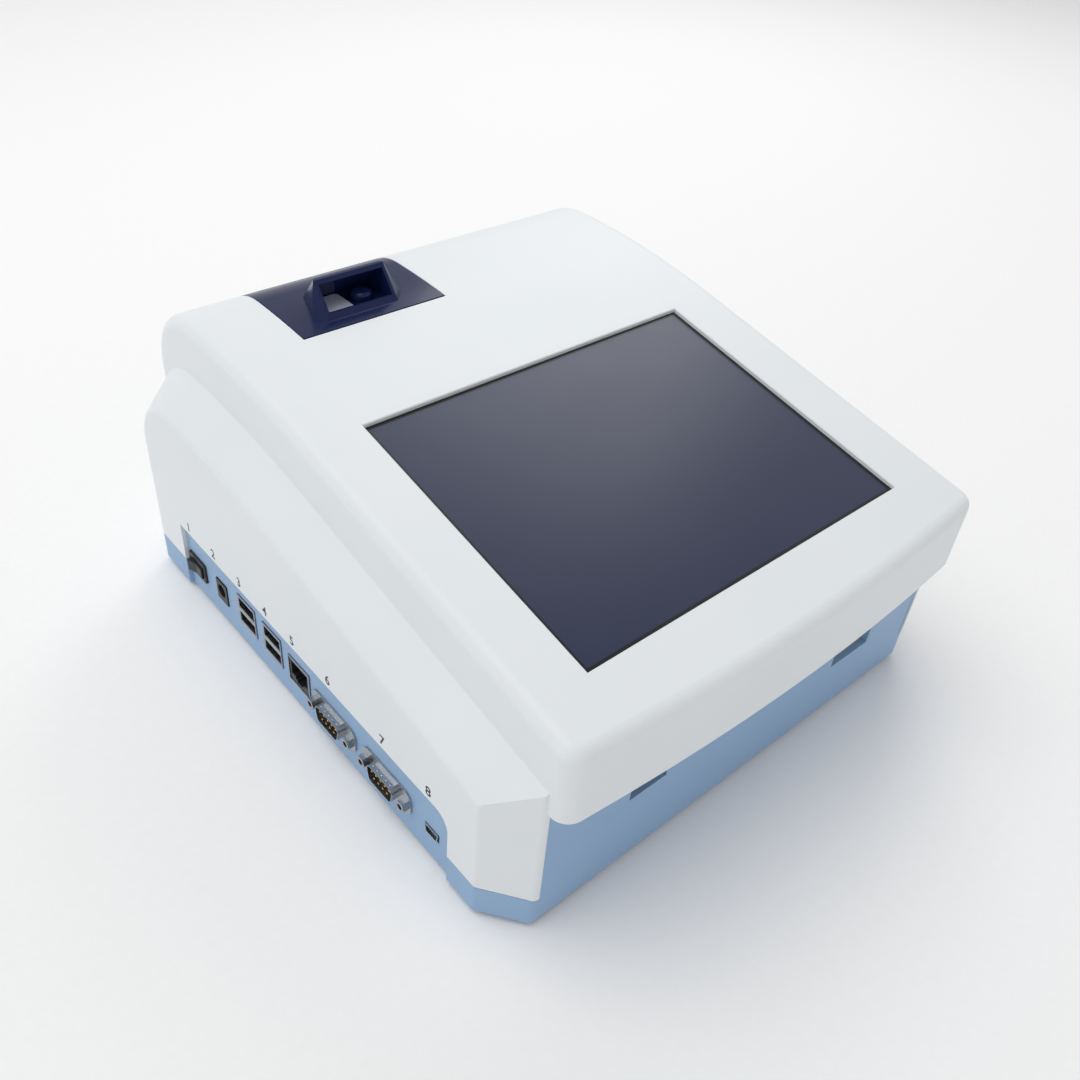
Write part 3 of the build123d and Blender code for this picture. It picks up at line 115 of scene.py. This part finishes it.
def mouldedPlastic(name, look):
    # injection moulded ABS: even colour that drifts a little, and the fine pebble of an eroded mould
    material, tree, shader, place = newMaterial(name, {"IOR": 1.53})
    drift = addNode(tree, "ShaderNodeTexNoise", {"Scale": 1 / (look["driftMm"] * mm), "Detail": 3.0},
                    {"Vector": place})
    tree.links.new(colourBetween(tree, drift.outputs["Fac"], look["low"], look["high"]),
                   shader.inputs["Base Color"])
    pebble = addNode(tree, "ShaderNodeTexVoronoi",
                     {"Scale": 1 / (look["grainMm"] * mm), "feature": "SMOOTH_F1"},
                     {"Vector": place})
    finer = addNode(tree, "ShaderNodeTexNoise", {"Scale": 2.2 / (look["grainMm"] * mm), "Detail": 4.0},
                    {"Vector": place})
    mixed = addNode(tree, "ShaderNodeMath", {"operation": "ADD"},
                    {0: pebble.outputs["Distance"], 1: finer.outputs["Fac"]})
    bump = addNode(tree, "ShaderNodeBump", {"Strength": look["bump"], "Distance": look["bumpMm"] * mm},
                   {"Height": mixed.outputs[0]})
    tree.links.new(bump.outputs["Normal"], shader.inputs["Normal"])
    # where hands and cloths go over it, the pebble is a little shinier
    rubbed = addNode(tree, "ShaderNodeTexNoise", {"Scale": 1 / (2.5 * look["driftMm"] * mm), "Detail": 2.0},
                     {"Vector": place})
    both = addNode(tree, "ShaderNodeMath", {"operation": "MULTIPLY_ADD", 1: 0.4},
                   {0: finer.outputs["Fac"], 2: rubbed.outputs["Fac"]})
    rough = valueBetween(tree, both.outputs[0], look["rough"] - 0.08, look["rough"] + 0.03)
    tree.links.new(rough, shader.inputs["Roughness"])
    return material


# white cover: pale cool white, soft wide highlights
whiteAbs = mouldedPlastic("whiteMouldedAbs",
                          {"low": "E1E6E9", "high": "E8ECEE", "driftMm": 60, "grainMm": 0.6,
                           "bump": 0.12, "bumpMm": 0.05, "rough": 0.46})
# blue base: the same mould finish, coloured through
blueAbs = mouldedPlastic("paleBlueMouldedAbs",
                         {"low": "8AAACD", "high": "92B1D2", "driftMm": 50, "grainMm": 0.6,
                          "bump": 0.14, "bumpMm": 0.05, "rough": 0.48})
# grey inner mouldings, never polished
greyAbs = mouldedPlastic("greyMouldedAbs",
                         {"low": "8E9296", "high": "989CA0", "driftMm": 30, "grainMm": 0.5,
                          "bump": 0.2, "bumpMm": 0.05, "rough": 0.5})
# pale card guide and tray, the tone seen through the right-hand slot
paleAbs = mouldedPlastic("paleGreyMouldedAbs",
                         {"low": "C9CFD4", "high": "D6DBDF", "driftMm": 25, "grainMm": 0.5,
                          "bump": 0.15, "bumpMm": 0.05, "rough": 0.45})
# socket inserts and the switch: black glass-filled nylon, slightly dusty
blackNylon = mouldedPlastic("blackGlassFilledNylon",
                            {"low": "17181B", "high": "232428", "driftMm": 4, "grainMm": 0.3,
                             "bump": 0.25, "bumpMm": 0.03, "rough": 0.42})
# the plate glued in the grip
padPlastic = mouldedPlastic("greyBlueSheetPlastic",
                            {"low": "B2B6CC", "high": "C0C3D6", "driftMm": 8, "grainMm": 0.4,
                             "bump": 0.15, "bumpMm": 0.03, "rough": 0.35})


def polishedNavy():
    # lid: high-gloss ABS, dark blue, with a faint orange peel and hairline handling marks
    look = {"low": "101B42", "high": "17244F", "driftMm": 25, "peelMm": 7, "peelDeepMm": 0.2,
            "hair": (60.0, 2000.0, 60.0), "hairTurn": 0.4}    # the marks run across Y, a little aslant
    material, tree, shader, place = newMaterial("polishedNavyAbs", {
        "IOR": 1.45, "Coat Weight": 0.05, "Coat Roughness": 0.04, "Specular IOR Level": 0.28})
    drift = addNode(tree, "ShaderNodeTexNoise", {"Scale": 1 / (look["driftMm"] * mm), "Detail": 2.0},
                    {"Vector": place})
    tree.links.new(colourBetween(tree, drift.outputs["Fac"], look["low"], look["high"]),
                   shader.inputs["Base Color"])
    peel = addNode(tree, "ShaderNodeTexNoise", {"Scale": 1 / (look["peelMm"] * mm), "Detail": 1.0},
                   {"Vector": place})
    bump = addNode(tree, "ShaderNodeBump", {"Strength": 0.05, "Distance": look["peelDeepMm"] * mm},
                   {"Height": peel.outputs["Fac"]})
    tree.links.new(bump.outputs["Normal"], shader.inputs["Normal"])
    across = addNode(tree, "ShaderNodeMapping",
                     {"Scale": look["hair"], "Rotation": (0.0, 0.0, look["hairTurn"])},
                     {"Vector": place})
    hair = addNode(tree, "ShaderNodeTexNoise", {"Scale": 1.0, "Detail": 5.0}, {"Vector": across.outputs[0]})
    tree.links.new(valueBetween(tree, hair.outputs["Fac"], 0.12, 0.26), shader.inputs["Roughness"])
    return material


navyGloss = polishedNavy()


def touchGlass():
    # resistive touch film over a dark display: an antiglare haze, and a near-black band round its edge,
    # painted shade for the shadow line under the bezel's lip
    look = {"low": "222A46", "high": "2A324E", "paintedLipShade": "070910", "driftMm": 83, "smearMm": 35,
            "hazeMm": 0.35, "hazeDeepMm": 0.03,
            "slope": 11.46, "clearWide": 158.4, "clearLong": 119.1}    # degrees, then mm inside the painted shade band
    low, high = (Vector(corner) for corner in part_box("touch_panel"))
    centre = (low + high) / 2
    material, tree, shader, place = newMaterial("antiglareTouchFilm", {
        "IOR": 1.5, "Specular IOR Level": 0.5})
    # across and along the sloping glass, from its centre
    centred = addNode(tree, "ShaderNodeVectorMath", {"operation": "SUBTRACT", 1: centre}, {0: place})
    level = addNode(tree, "ShaderNodeVectorRotate",
                    {"rotation_type": "X_AXIS", "Angle": -math.radians(look["slope"])},
                    {"Vector": centred.outputs[0]})
    apart = addNode(tree, "ShaderNodeSeparateXYZ", None, {0: level.outputs[0]})
    inside = []
    for axis, size in (("X", look["clearWide"]), ("Y", look["clearLong"])):
        far = addNode(tree, "ShaderNodeMath", {"operation": "ABSOLUTE"}, {0: apart.outputs[axis]})
        inside.append(addNode(tree, "ShaderNodeMath", {"operation": "LESS_THAN", 1: size / 2 * mm},
                              {0: far.outputs[0]}))
    clear = addNode(tree, "ShaderNodeMath", {"operation": "MULTIPLY"},
                    {0: inside[0].outputs[0], 1: inside[1].outputs[0]})
    drift = addNode(tree, "ShaderNodeTexNoise", {"Scale": 1 / (look["driftMm"] * mm), "Detail": 1.0},
                    {"Vector": place})
    film = colourBetween(tree, drift.outputs["Fac"], look["low"], look["high"])
    # outside the clear middle the glass takes the near-black painted shade of the bezel's lip
    tone = addNode(tree, "ShaderNodeMix", {"data_type": "RGBA", 6: linearColour(look["paintedLipShade"])},
                   {0: clear.outputs[0], 7: film})
    tree.links.new(tone.outputs[2], shader.inputs["Base Color"])
    smear = addNode(tree, "ShaderNodeTexNoise",
                    {"Scale": 1 / (look["smearMm"] * mm), "Detail": 6.0, "Roughness": 0.6},
                    {"Vector": place})
    tree.links.new(valueBetween(tree, smear.outputs["Fac"], 0.26, 0.36), shader.inputs["Roughness"])
    haze = addNode(tree, "ShaderNodeTexNoise", {"Scale": 1 / (look["hazeMm"] * mm), "Detail": 2.0},
                   {"Vector": place})
    bump = addNode(tree, "ShaderNodeBump", {"Strength": 0.05, "Distance": look["hazeDeepMm"] * mm},
                   {"Height": haze.outputs["Fac"]})
    tree.links.new(bump.outputs["Normal"], shader.inputs["Normal"])
    return material


screenGlass = touchGlass()


def metal(name, look):
    # sheet or turned metal: drawn or plated, with fine lines one way and a cloudy plating
    material, tree, shader, place = newMaterial(name, {"Metallic": 1.0})
    stretch = addNode(tree, "ShaderNodeMapping", {"Scale": look["lines"]}, {"Vector": place})
    lines = addNode(tree, "ShaderNodeTexNoise", {"Scale": 1.0, "Detail": 4.0},
                    {"Vector": stretch.outputs[0]})
    cloud = addNode(tree, "ShaderNodeTexNoise", {"Scale": 1 / (look["cloudMm"] * mm), "Detail": 3.0},
                    {"Vector": place})
    tree.links.new(colourBetween(tree, cloud.outputs["Fac"], look["low"], look["high"]),
                   shader.inputs["Base Color"])
    tree.links.new(valueBetween(tree, lines.outputs["Fac"], look["rough"] - 0.08, look["rough"] + 0.1),
                   shader.inputs["Roughness"])
    bump = addNode(tree, "ShaderNodeBump", {"Strength": 0.1, "Distance": 0.02 * mm},
                   {"Height": lines.outputs["Fac"]})
    tree.links.new(bump.outputs["Normal"], shader.inputs["Normal"])
    return material


# zinc-plated sheet: bluish grey, rolled along Y
zincSheet = metal("zincPlatedSheet", {"low": "8F9397", "high": "A7ABAF", "lines": (2500.0, 120.0, 2500.0),
                                      "cloudMm": 6, "rough": 0.4})
# screws and rods: turned, lines round the shank too fine to show, so drawn along it
zincScrew = metal("zincPlatedScrew", {"low": "9A9DA1", "high": "B5B8BB", "lines": (900.0, 900.0, 4000.0),
                                      "cloudMm": 2, "rough": 0.28})
# socket shells: tin-nickel plate, fairly bright, drawn along the depth of the socket
nickelPlate = metal("nickelPlatedSteel",
                    {"low": "9EA2A8", "high": "BABDC1", "lines": (200.0, 4000.0, 4000.0),
                     "cloudMm": 3, "rough": 0.26})
# contacts: thin gold over nickel
goldPlate = metal("goldPlatedBronze", {"low": "C79A45", "high": "E0BC6C", "lines": (300.0, 3000.0, 3000.0),
                                       "cloudMm": 1.5, "rough": 0.22})
# heat sink and print head: extruded and milled aluminium
bareAluminium = metal("extrudedAluminium",
                      {"low": "A2A5A8", "high": "BCBFC1", "lines": (3500.0, 100.0, 300.0),
                       "cloudMm": 5, "rough": 0.36})


def circuitBoard():
    # glass-epoxy board: green mask, with copper tracks showing through as slightly paler lines
    look = {"long": 6.0, "row": 1.2, "gap": 0.2, "weaveMm": 0.4}    # the tracks' pattern, mm
    material, tree, shader, place = newMaterial("greenSolderMask",
                                                {"IOR": 1.55, "Coat Weight": 0.3, "Coat Roughness": 0.2})
    tracks = addNode(tree, "ShaderNodeTexBrick", {
        "Scale": 1.0, "Brick Width": look["long"] * mm, "Row Height": look["row"] * mm,
        "Mortar Size": look["gap"] * mm, "offset": 0.37,
        "Color1": linearColour("0E4A2E"), "Color2": linearColour("0C3F29"),
        "Mortar": linearColour("1D6A45")},
        {"Vector": place})
    tree.links.new(tracks.outputs["Color"], shader.inputs["Base Color"])
    weave = addNode(tree, "ShaderNodeTexNoise", {"Scale": 1 / (look["weaveMm"] * mm), "Detail": 2.0},
                    {"Vector": place})
    tree.links.new(valueBetween(tree, weave.outputs["Fac"], 0.3, 0.45), shader.inputs["Roughness"])
    bump = addNode(tree, "ShaderNodeBump", {"Strength": 0.2, "Distance": 0.03 * mm},
                   {"Height": tracks.outputs["Fac"]})
    tree.links.new(bump.outputs["Normal"], shader.inputs["Normal"])
    return material


boardGreen = circuitBoard()


def blackRubber():
    # feet and roller: moulded rubber, matt, greyed by bloom in the hollows
    look = {"low": "161616", "high": "2A2A29", "bloomMm": 3, "gritMm": 0.25}
    material, tree, shader, place = newMaterial("mouldedBlackRubber",
                                                {"IOR": 1.5, "Specular IOR Level": 0.35})
    bloom = addNode(tree, "ShaderNodeTexNoise", {"Scale": 1 / (look["bloomMm"] * mm), "Detail": 6.0},
                    {"Vector": place})
    tree.links.new(colourBetween(tree, bloom.outputs["Fac"], look["low"], look["high"]),
                   shader.inputs["Base Color"])
    tree.links.new(valueBetween(tree, bloom.outputs["Fac"], 0.62, 0.85), shader.inputs["Roughness"])
    grit = addNode(tree, "ShaderNodeTexNoise", {"Scale": 1 / (look["gritMm"] * mm), "Detail": 3.0},
                   {"Vector": place})
    bump = addNode(tree, "ShaderNodeBump", {"Strength": 0.3, "Distance": 0.04 * mm},
                   {"Height": grit.outputs["Fac"]})
    tree.links.new(bump.outputs["Normal"], shader.inputs["Normal"])
    return material


footRubber = blackRubber()


def thermalPaper():
    # wound thermal paper: the roll's ends show its rings
    look = {"low": "DDDBD4", "high": "F3F2EE", "fibreMm": 0.55,
            "wrapMm": 0.35}    # real paper is 0.06 thick: drawn coarser to show
    low, high = (Vector(corner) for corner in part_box("paper_roll"))
    centre = (low + high) / 2
    material, tree, shader, place = newMaterial("woundThermalPaper",
                                                {"IOR": 1.45, "Specular IOR Level": 0.3})
    centred = addNode(tree, "ShaderNodeMapping",
                      {"Location": (0.0, -centre.y, -centre.z), "Scale": (0.0, 1.0, 1.0)},
                      {"Vector": place})
    far = addNode(tree, "ShaderNodeVectorMath", {"operation": "LENGTH"}, {0: centred.outputs[0]})
    turns = addNode(tree, "ShaderNodeMath",
                    {"operation": "MULTIPLY", 1: 2 * math.pi / (look["wrapMm"] * mm)},
                    {0: far.outputs["Value"]})
    wave = addNode(tree, "ShaderNodeMath", {"operation": "SINE"}, {0: turns.outputs[0]})
    shade = valueBetween(tree, wave.outputs[0], 0.0, 1.0)
    tree.links.new(colourBetween(tree, shade, look["low"], look["high"]), shader.inputs["Base Color"])
    fibres = addNode(tree, "ShaderNodeTexNoise", {"Scale": 1 / (look["fibreMm"] * mm), "Detail": 5.0},
                     {"Vector": place})
    tree.links.new(valueBetween(tree, fibres.outputs["Fac"], 0.6, 0.8), shader.inputs["Roughness"])
    bump = addNode(tree, "ShaderNodeBump", {"Strength": 0.25, "Distance": 0.05 * mm},
                   {"Height": wave.outputs[0]})
    tree.links.new(bump.outputs["Normal"], shader.inputs["Normal"])
    return material


paperWhite = thermalPaper()


def brownBoard():
    # core tube: grey-brown pressed board, wound on a slant
    look = {"low": "A58B66", "high": "B89F7C", "slantMm": 11, "fluffMm": 0.67}
    material, tree, shader, place = newMaterial("pressedCardboard",
                                                {"IOR": 1.45, "Specular IOR Level": 0.2})
    slant = addNode(tree, "ShaderNodeTexWave", {"Scale": 1 / (look["slantMm"] * mm), "Distortion": 2.0,
                                                "Detail": 2.0}, {"Vector": place})
    tree.links.new(colourBetween(tree, slant.outputs["Fac"], look["low"], look["high"]),
                   shader.inputs["Base Color"])
    fluff = addNode(tree, "ShaderNodeTexNoise", {"Scale": 1 / (look["fluffMm"] * mm), "Detail": 5.0},
                    {"Vector": place})
    tree.links.new(valueBetween(tree, fluff.outputs["Fac"], 0.7, 0.9), shader.inputs["Roughness"])
    bump = addNode(tree, "ShaderNodeBump", {"Strength": 0.3, "Distance": 0.08 * mm},
                   {"Height": fluff.outputs["Fac"]})
    tree.links.new(bump.outputs["Normal"], shader.inputs["Normal"])
    return material


cardboard = brownBoard()


def lensCoating():
    # small ground lens: nearly clear, a faint violet coating
    look = {"low": "D6E4EA", "high": "9A8CC8", "dustMm": 1.1}
    material, tree, shader, place = newMaterial("coatedLensGlass", {
        "IOR": 1.52, "Transmission Weight": 0.8, "Coat Weight": 0.5, "Coat Roughness": 0.02})
    tint = addNode(tree, "ShaderNodeLayerWeight", {"Blend": 0.35})
    tree.links.new(colourBetween(tree, tint.outputs["Facing"], look["low"], look["high"]),
                   shader.inputs["Base Color"])
    dust = addNode(tree, "ShaderNodeTexNoise", {"Scale": 1 / (look["dustMm"] * mm), "Detail": 3.0},
                   {"Vector": place})
    tree.links.new(valueBetween(tree, dust.outputs["Fac"], 0.02, 0.1), shader.inputs["Roughness"])
    return material


lensGlass = lensCoating()


def padInk():
    # pad-printed numbers: dark grey ink, satin, a little patchy
    look = {"low": "24272D", "high": "3B3F47", "patchMm": 0.5}
    material, tree, shader, place = newMaterial("padPrintedInk", {"IOR": 1.48, "Specular IOR Level": 0.4})
    patches = addNode(tree, "ShaderNodeTexNoise", {"Scale": 1 / (look["patchMm"] * mm), "Detail": 4.0},
                      {"Vector": place})
    tree.links.new(colourBetween(tree, patches.outputs["Fac"], look["low"], look["high"]),
                   shader.inputs["Base Color"])
    tree.links.new(valueBetween(tree, patches.outputs["Fac"], 0.4, 0.6), shader.inputs["Roughness"])
    return material


darkInk = padInk()
print("materials made")

# which finish each CAD piece takes
finishes = {
    whiteAbs: ["top_shell"],
    blueAbs: ["base_shell", "front_panel", "port_panel"],
    navyGloss: ["printer_lid"],
    padPlastic: ["grip_pad"],
    screenGlass: ["touch_panel"],
    greyAbs: ["printer_bay"],
    paleAbs: ["card_guide", "card_tray"],
    blackNylon: ["usb_tongues", "lan_insert", "dc_jack", "com_inserts", "power_switch", "power_rocker",
                 "board_chips", "scan_head", "chip_socket", "print_strip"],
    zincSheet: ["lcd_module", "lcd_frame", "bench_frame", "printer_motor", "scan_motor"],
    zincScrew: ["lcd_screws", "board_screws", "bay_screws", "jack_screws", "case_screws", "lid_pin",
                "platen_axle", "guide_rods", "lead_screw"],
    nickelPlate: ["usb_rear", "usb_front", "lan_shell", "com1_shell", "com2_shell", "mini_usb"],
    goldPlate: ["lan_contacts", "dc_pin", "com_pins", "chip_contacts"],
    bareAluminium: ["heat_sink", "print_head"],
    boardGreen: ["main_board"],
    footRubber: ["feet", "platen_roller"],
    paperWhite: ["paper_roll"],
    cardboard: ["roll_core"],
    lensGlass: ["scan_lens"],
}
for finish, names in finishes.items():
    for name in names:
        node = cadNodes[name]
        node.data.materials.clear()
        node.data.materials.append(finish)
print("finishes given to", sum(len(names) for names in finishes.values()), "of", len(cadNodes), "pieces")


# added pieces

def linkPiece(name, mesh, body):
    # a finished piece stands at the origin, with its place in its mesh
    piece = bpy.data.objects.new(name, mesh)
    bpy.context.scene.collection.objects.link(piece)
    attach(piece, body)
    return piece


def meshOf(piece):
    # the evaluated result as a plain mesh, and the helper object gone
    graph = bpy.context.evaluated_depsgraph_get()
    mesh = bpy.data.meshes.new_from_object(piece.evaluated_get(graph))
    bpy.data.objects.remove(piece)
    return mesh


portNumbers = {
    "ports": ["power_switch", "dc_jack", "usb_rear", "usb_front", "lan_shell", "com2_shell", "com1_shell",
              "mini_usb"],
    "tall": 4.6, "foot": 38.6, "thick": 0.04, "bold": 0.11,     # mm
    "sizeForTall": 1.4,      # a font's size for a digit one high
}


def printNumbers():
    # plain numbers on the white side, one above each port, read from the left
    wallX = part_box("top_shell")[0][0]
    foot = portNumbers["foot"] * mm
    facing = Matrix(((0, 0, -1), (-1, 0, 0), (0, 1, 0))).to_4x4()
    joined = bmesh.new()
    for count, port in enumerate(portNumbers["ports"], 1):
        data = bpy.data.curves.new("number", "FONT")
        data.body = str(count)
        data.align_x = "CENTER"
        data.size = portNumbers["tall"] * portNumbers["sizeForTall"] * mm
        data.extrude = portNumbers["thick"] / 2 * mm
        data.offset = portNumbers["bold"] * mm
        data.resolution_u = 4
        letter = bpy.data.objects.new("number", data)
        bpy.context.scene.collection.objects.link(letter)
        mesh = meshOf(letter)
        low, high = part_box(port)
        place = (wallX - portNumbers["thick"] / 4 * mm, (low[1] + high[1]) / 2, foot)
        mesh.transform(Matrix.Translation(place) @ facing)
        joined.from_mesh(mesh)
    bmesh.ops.remove_doubles(joined, verts=joined.verts, dist=1e-6)
    bmesh.ops.recalc_face_normals(joined, faces=joined.faces)
    mesh = bpy.data.meshes.new("portNumbers")
    joined.to_mesh(mesh)
    joined.free()
    mesh.materials.append(darkInk)
    return linkPiece("port_numbers", mesh, "case")


printNumbers()
print("port numbers printed")


def rowTree(name, shapeKind, inputs):
    # at each point of the host mesh stands a row along Y of one small shape, centred on the point
    tree = bpy.data.node_groups.new(name, "GeometryNodeTree")
    tree.interface.new_socket("Points", in_out="INPUT", socket_type="NodeSocketGeometry")
    keys = {}
    for label, kind in inputs.items():
        keys[label] = tree.interface.new_socket(label, in_out="INPUT", socket_type=kind).identifier
    tree.interface.new_socket("Row", in_out="OUTPUT", socket_type="NodeSocketGeometry")
    given = addNode(tree, "NodeGroupInput").outputs
    if shapeKind == "box":
        shape = addNode(tree, "GeometryNodeMeshCube", None, {"Size": given["Size"]}).outputs["Mesh"]
    else:
        ball = addNode(tree, "GeometryNodeMeshUVSphere", {"Segments": 14, "Rings": 7, "Radius": 0.5})
        shape = addNode(tree, "GeometryNodeTransform", None,
                        {"Geometry": ball.outputs["Mesh"], "Scale": given["Size"]}).outputs[0]
    less = addNode(tree, "ShaderNodeMath", {"operation": "SUBTRACT", 1: 1.0}, {0: given["Count"]})
    long = addNode(tree, "ShaderNodeMath", {"operation": "MULTIPLY"},
                   {0: less.outputs[0], 1: given["Pitch"]})
    back = addNode(tree, "ShaderNodeMath", {"operation": "MULTIPLY", 1: -0.5}, {0: long.outputs[0]})
    start = addNode(tree, "ShaderNodeCombineXYZ", None, {"Y": back.outputs[0]})
    step = addNode(tree, "ShaderNodeCombineXYZ", None, {"Y": given["Pitch"]})
    line = addNode(tree, "GeometryNodeMeshLine", None, {
        "Count": given["Count"], "Start Location": start.outputs[0], "Offset": step.outputs[0]})
    row = addNode(tree, "GeometryNodeInstanceOnPoints", None,
                  {"Points": line.outputs[0], "Instance": shape})
    rows = addNode(tree, "GeometryNodeInstanceOnPoints", None,
                   {"Points": given["Points"], "Instance": row.outputs[0]})
    real = addNode(tree, "GeometryNodeRealizeInstances", None, {0: rows.outputs[0]})
    coat = addNode(tree, "GeometryNodeSetMaterial", None,
                   {"Geometry": real.outputs[0], "Material": given["Material"]})
    addNode(tree, "NodeGroupOutput", None, {"Row": coat.outputs[0]})
    return tree, keys


rowInputs = {"Count": "NodeSocketInt", "Pitch": "NodeSocketFloat", "Size": "NodeSocketVector",
             "Material": "NodeSocketMaterial"}


def rowsAt(name, shapeKind, points, values, body):
    tree, keys = rowTree(name, shapeKind, rowInputs)
    host = bpy.data.meshes.new(name)
    host.from_pydata([tuple(p) for p in points], [], [])
    piece = bpy.data.objects.new(name, host)
    bpy.context.scene.collection.objects.link(piece)
    modifier = piece.modifiers.new(name, "NODES")
    modifier.node_group = tree
    for label, value in values.items():
        modifier[keys[label]] = value
    return linkPiece(name, meshOf(piece), body)


usbStrips = {"count": 4, "pitch": 2.5, "long": 6.4, "wide": 1.0, "thick": 0.2, "rowApart": 7.7,
             "under": 0.2, "deep": 5.2}


def layUsbStrips():
    # four sprung strips on the underside of each tongue
    points = []
    for node in ("usb_rear", "usb_front"):
        low, high = (Vector(corner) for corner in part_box(node))
        middle = (low + high) / 2
        for side in (-1, 1):
            z = middle.z + side * usbStrips["rowApart"] / 2 * mm - usbStrips["under"] * mm
            points.append((low.x + usbStrips["deep"] * mm, middle.y, z - usbStrips["thick"] / 2 * mm))
    size = Vector((usbStrips["long"], usbStrips["wide"], usbStrips["thick"])) * mm
    return rowsAt("usb_strips", "box", points,
                  {"Count": usbStrips["count"], "Pitch": usbStrips["pitch"] * mm,
                  "Size": size, "Material": goldPlate}, "case")


layUsbStrips()

shellDimples = {"count": 5, "pitch": 2.7, "wide": 1.1, "proud": 0.16, "in": 1.5, "half": 4.2}    # mm


def pressDimples():
    # the pressed dimples that grip a serial plug, along the top and bottom of each shell
    points = []
    for node in ("com1_shell", "com2_shell"):
        low, high = (Vector(corner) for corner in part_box(node))
        middle = (low + high) / 2
        for side in (-1, 1):
            z = middle.z + side * shellDimples["half"] * mm
            points.append((low.x + shellDimples["in"] * mm, middle.y, z))
    wide = shellDimples["wide"] * mm
    size = Vector((wide, wide, 2 * shellDimples["proud"] * mm))
    return rowsAt("shell_dimples", "ball", points,
                  {"Count": shellDimples["count"], "Pitch": shellDimples["pitch"] * mm,
                  "Size": size, "Material": nickelPlate}, "case")


pressDimples()
print("strips and dimples made")

studio = {
    "floorSize": 6.0,
    "level": 0.74, "overhead": 0.2,        # strength of the pale surroundings, level and overhead
    "turnsAt": (0.5, 0.95),                # the heights between which the one fades into the other
    "lamps": [   # name, place, aim, size, watts
        ("ceilingSoftbox", (-0.7, 0.6, 2.3), (0.0, 0.12, 0.08), 2.2, 31.0),
        ("glareSoftbox", (1.01, 0.88, 1.1), (0.02, 0.14, 0.11), 0.8, 4.5),
    ],
}


def setStudio():
    half = studio["floorSize"] / 2
    mesh = bpy.data.meshes.new("studioFloor")
    mesh.from_pydata([(-half, -half, 0), (half, -half, 0), (half, half, 0), (-half, half, 0)], [],
                     [(0, 1, 2, 3)])
    floor = bpy.data.objects.new("studioFloor", mesh)
    bpy.context.scene.collection.objects.link(floor)
    # matt paper sweep, almost white
    material, tree, shader, place = newMaterial("backdropPaper", {"Specular IOR Level": 0.1})
    fibre = addNode(tree, "ShaderNodeTexNoise", {"Scale": 300.0, "Detail": 3.0}, {"Vector": place})
    tree.links.new(colourBetween(tree, fibre.outputs["Fac"], "F6F6F6", "FAFAFA"),
                   shader.inputs["Base Color"])
    tree.links.new(valueBetween(tree, fibre.outputs["Fac"], 0.85, 0.95), shader.inputs["Roughness"])
    mesh.materials.append(material)
    # surroundings that darken towards the zenith, so the screen shades from back to front
    world = bpy.data.worlds.new("studioSky")
    world.use_nodes = True
    tree = world.node_tree
    back = tree.nodes["Background"]
    back.inputs["Color"].default_value = (1.0, 1.0, 1.0, 1.0)
    way = addNode(tree, "ShaderNodeTexCoord")
    up = addNode(tree, "ShaderNodeSeparateXYZ", None, {0: way.outputs["Generated"]})
    fade = addNode(tree, "ShaderNodeMapRange", {
        "interpolation_type": "SMOOTHSTEP", "From Min": studio["turnsAt"][0],
        "From Max": studio["turnsAt"][1],
        "To Min": studio["level"], "To Max": studio["overhead"]}, {"Value": up.outputs["Z"]})
    tree.links.new(fade.outputs["Result"], back.inputs["Strength"])
    bpy.context.scene.world = world
    for name, place, aim, size, watts in studio["lamps"]:
        data = bpy.data.lights.new(name, "AREA")
        data.size = size
        data.energy = watts
        lamp = bpy.data.objects.new(name, data)
        lamp.location = place
        lamp.rotation_euler = (Vector(aim) - Vector(place)).to_track_quat("-Z", "Y").to_euler()
        bpy.context.scene.collection.objects.link(lamp)
    bpy.context.scene.view_settings.view_transform = "Standard"


setStudio()
print("studio lit")
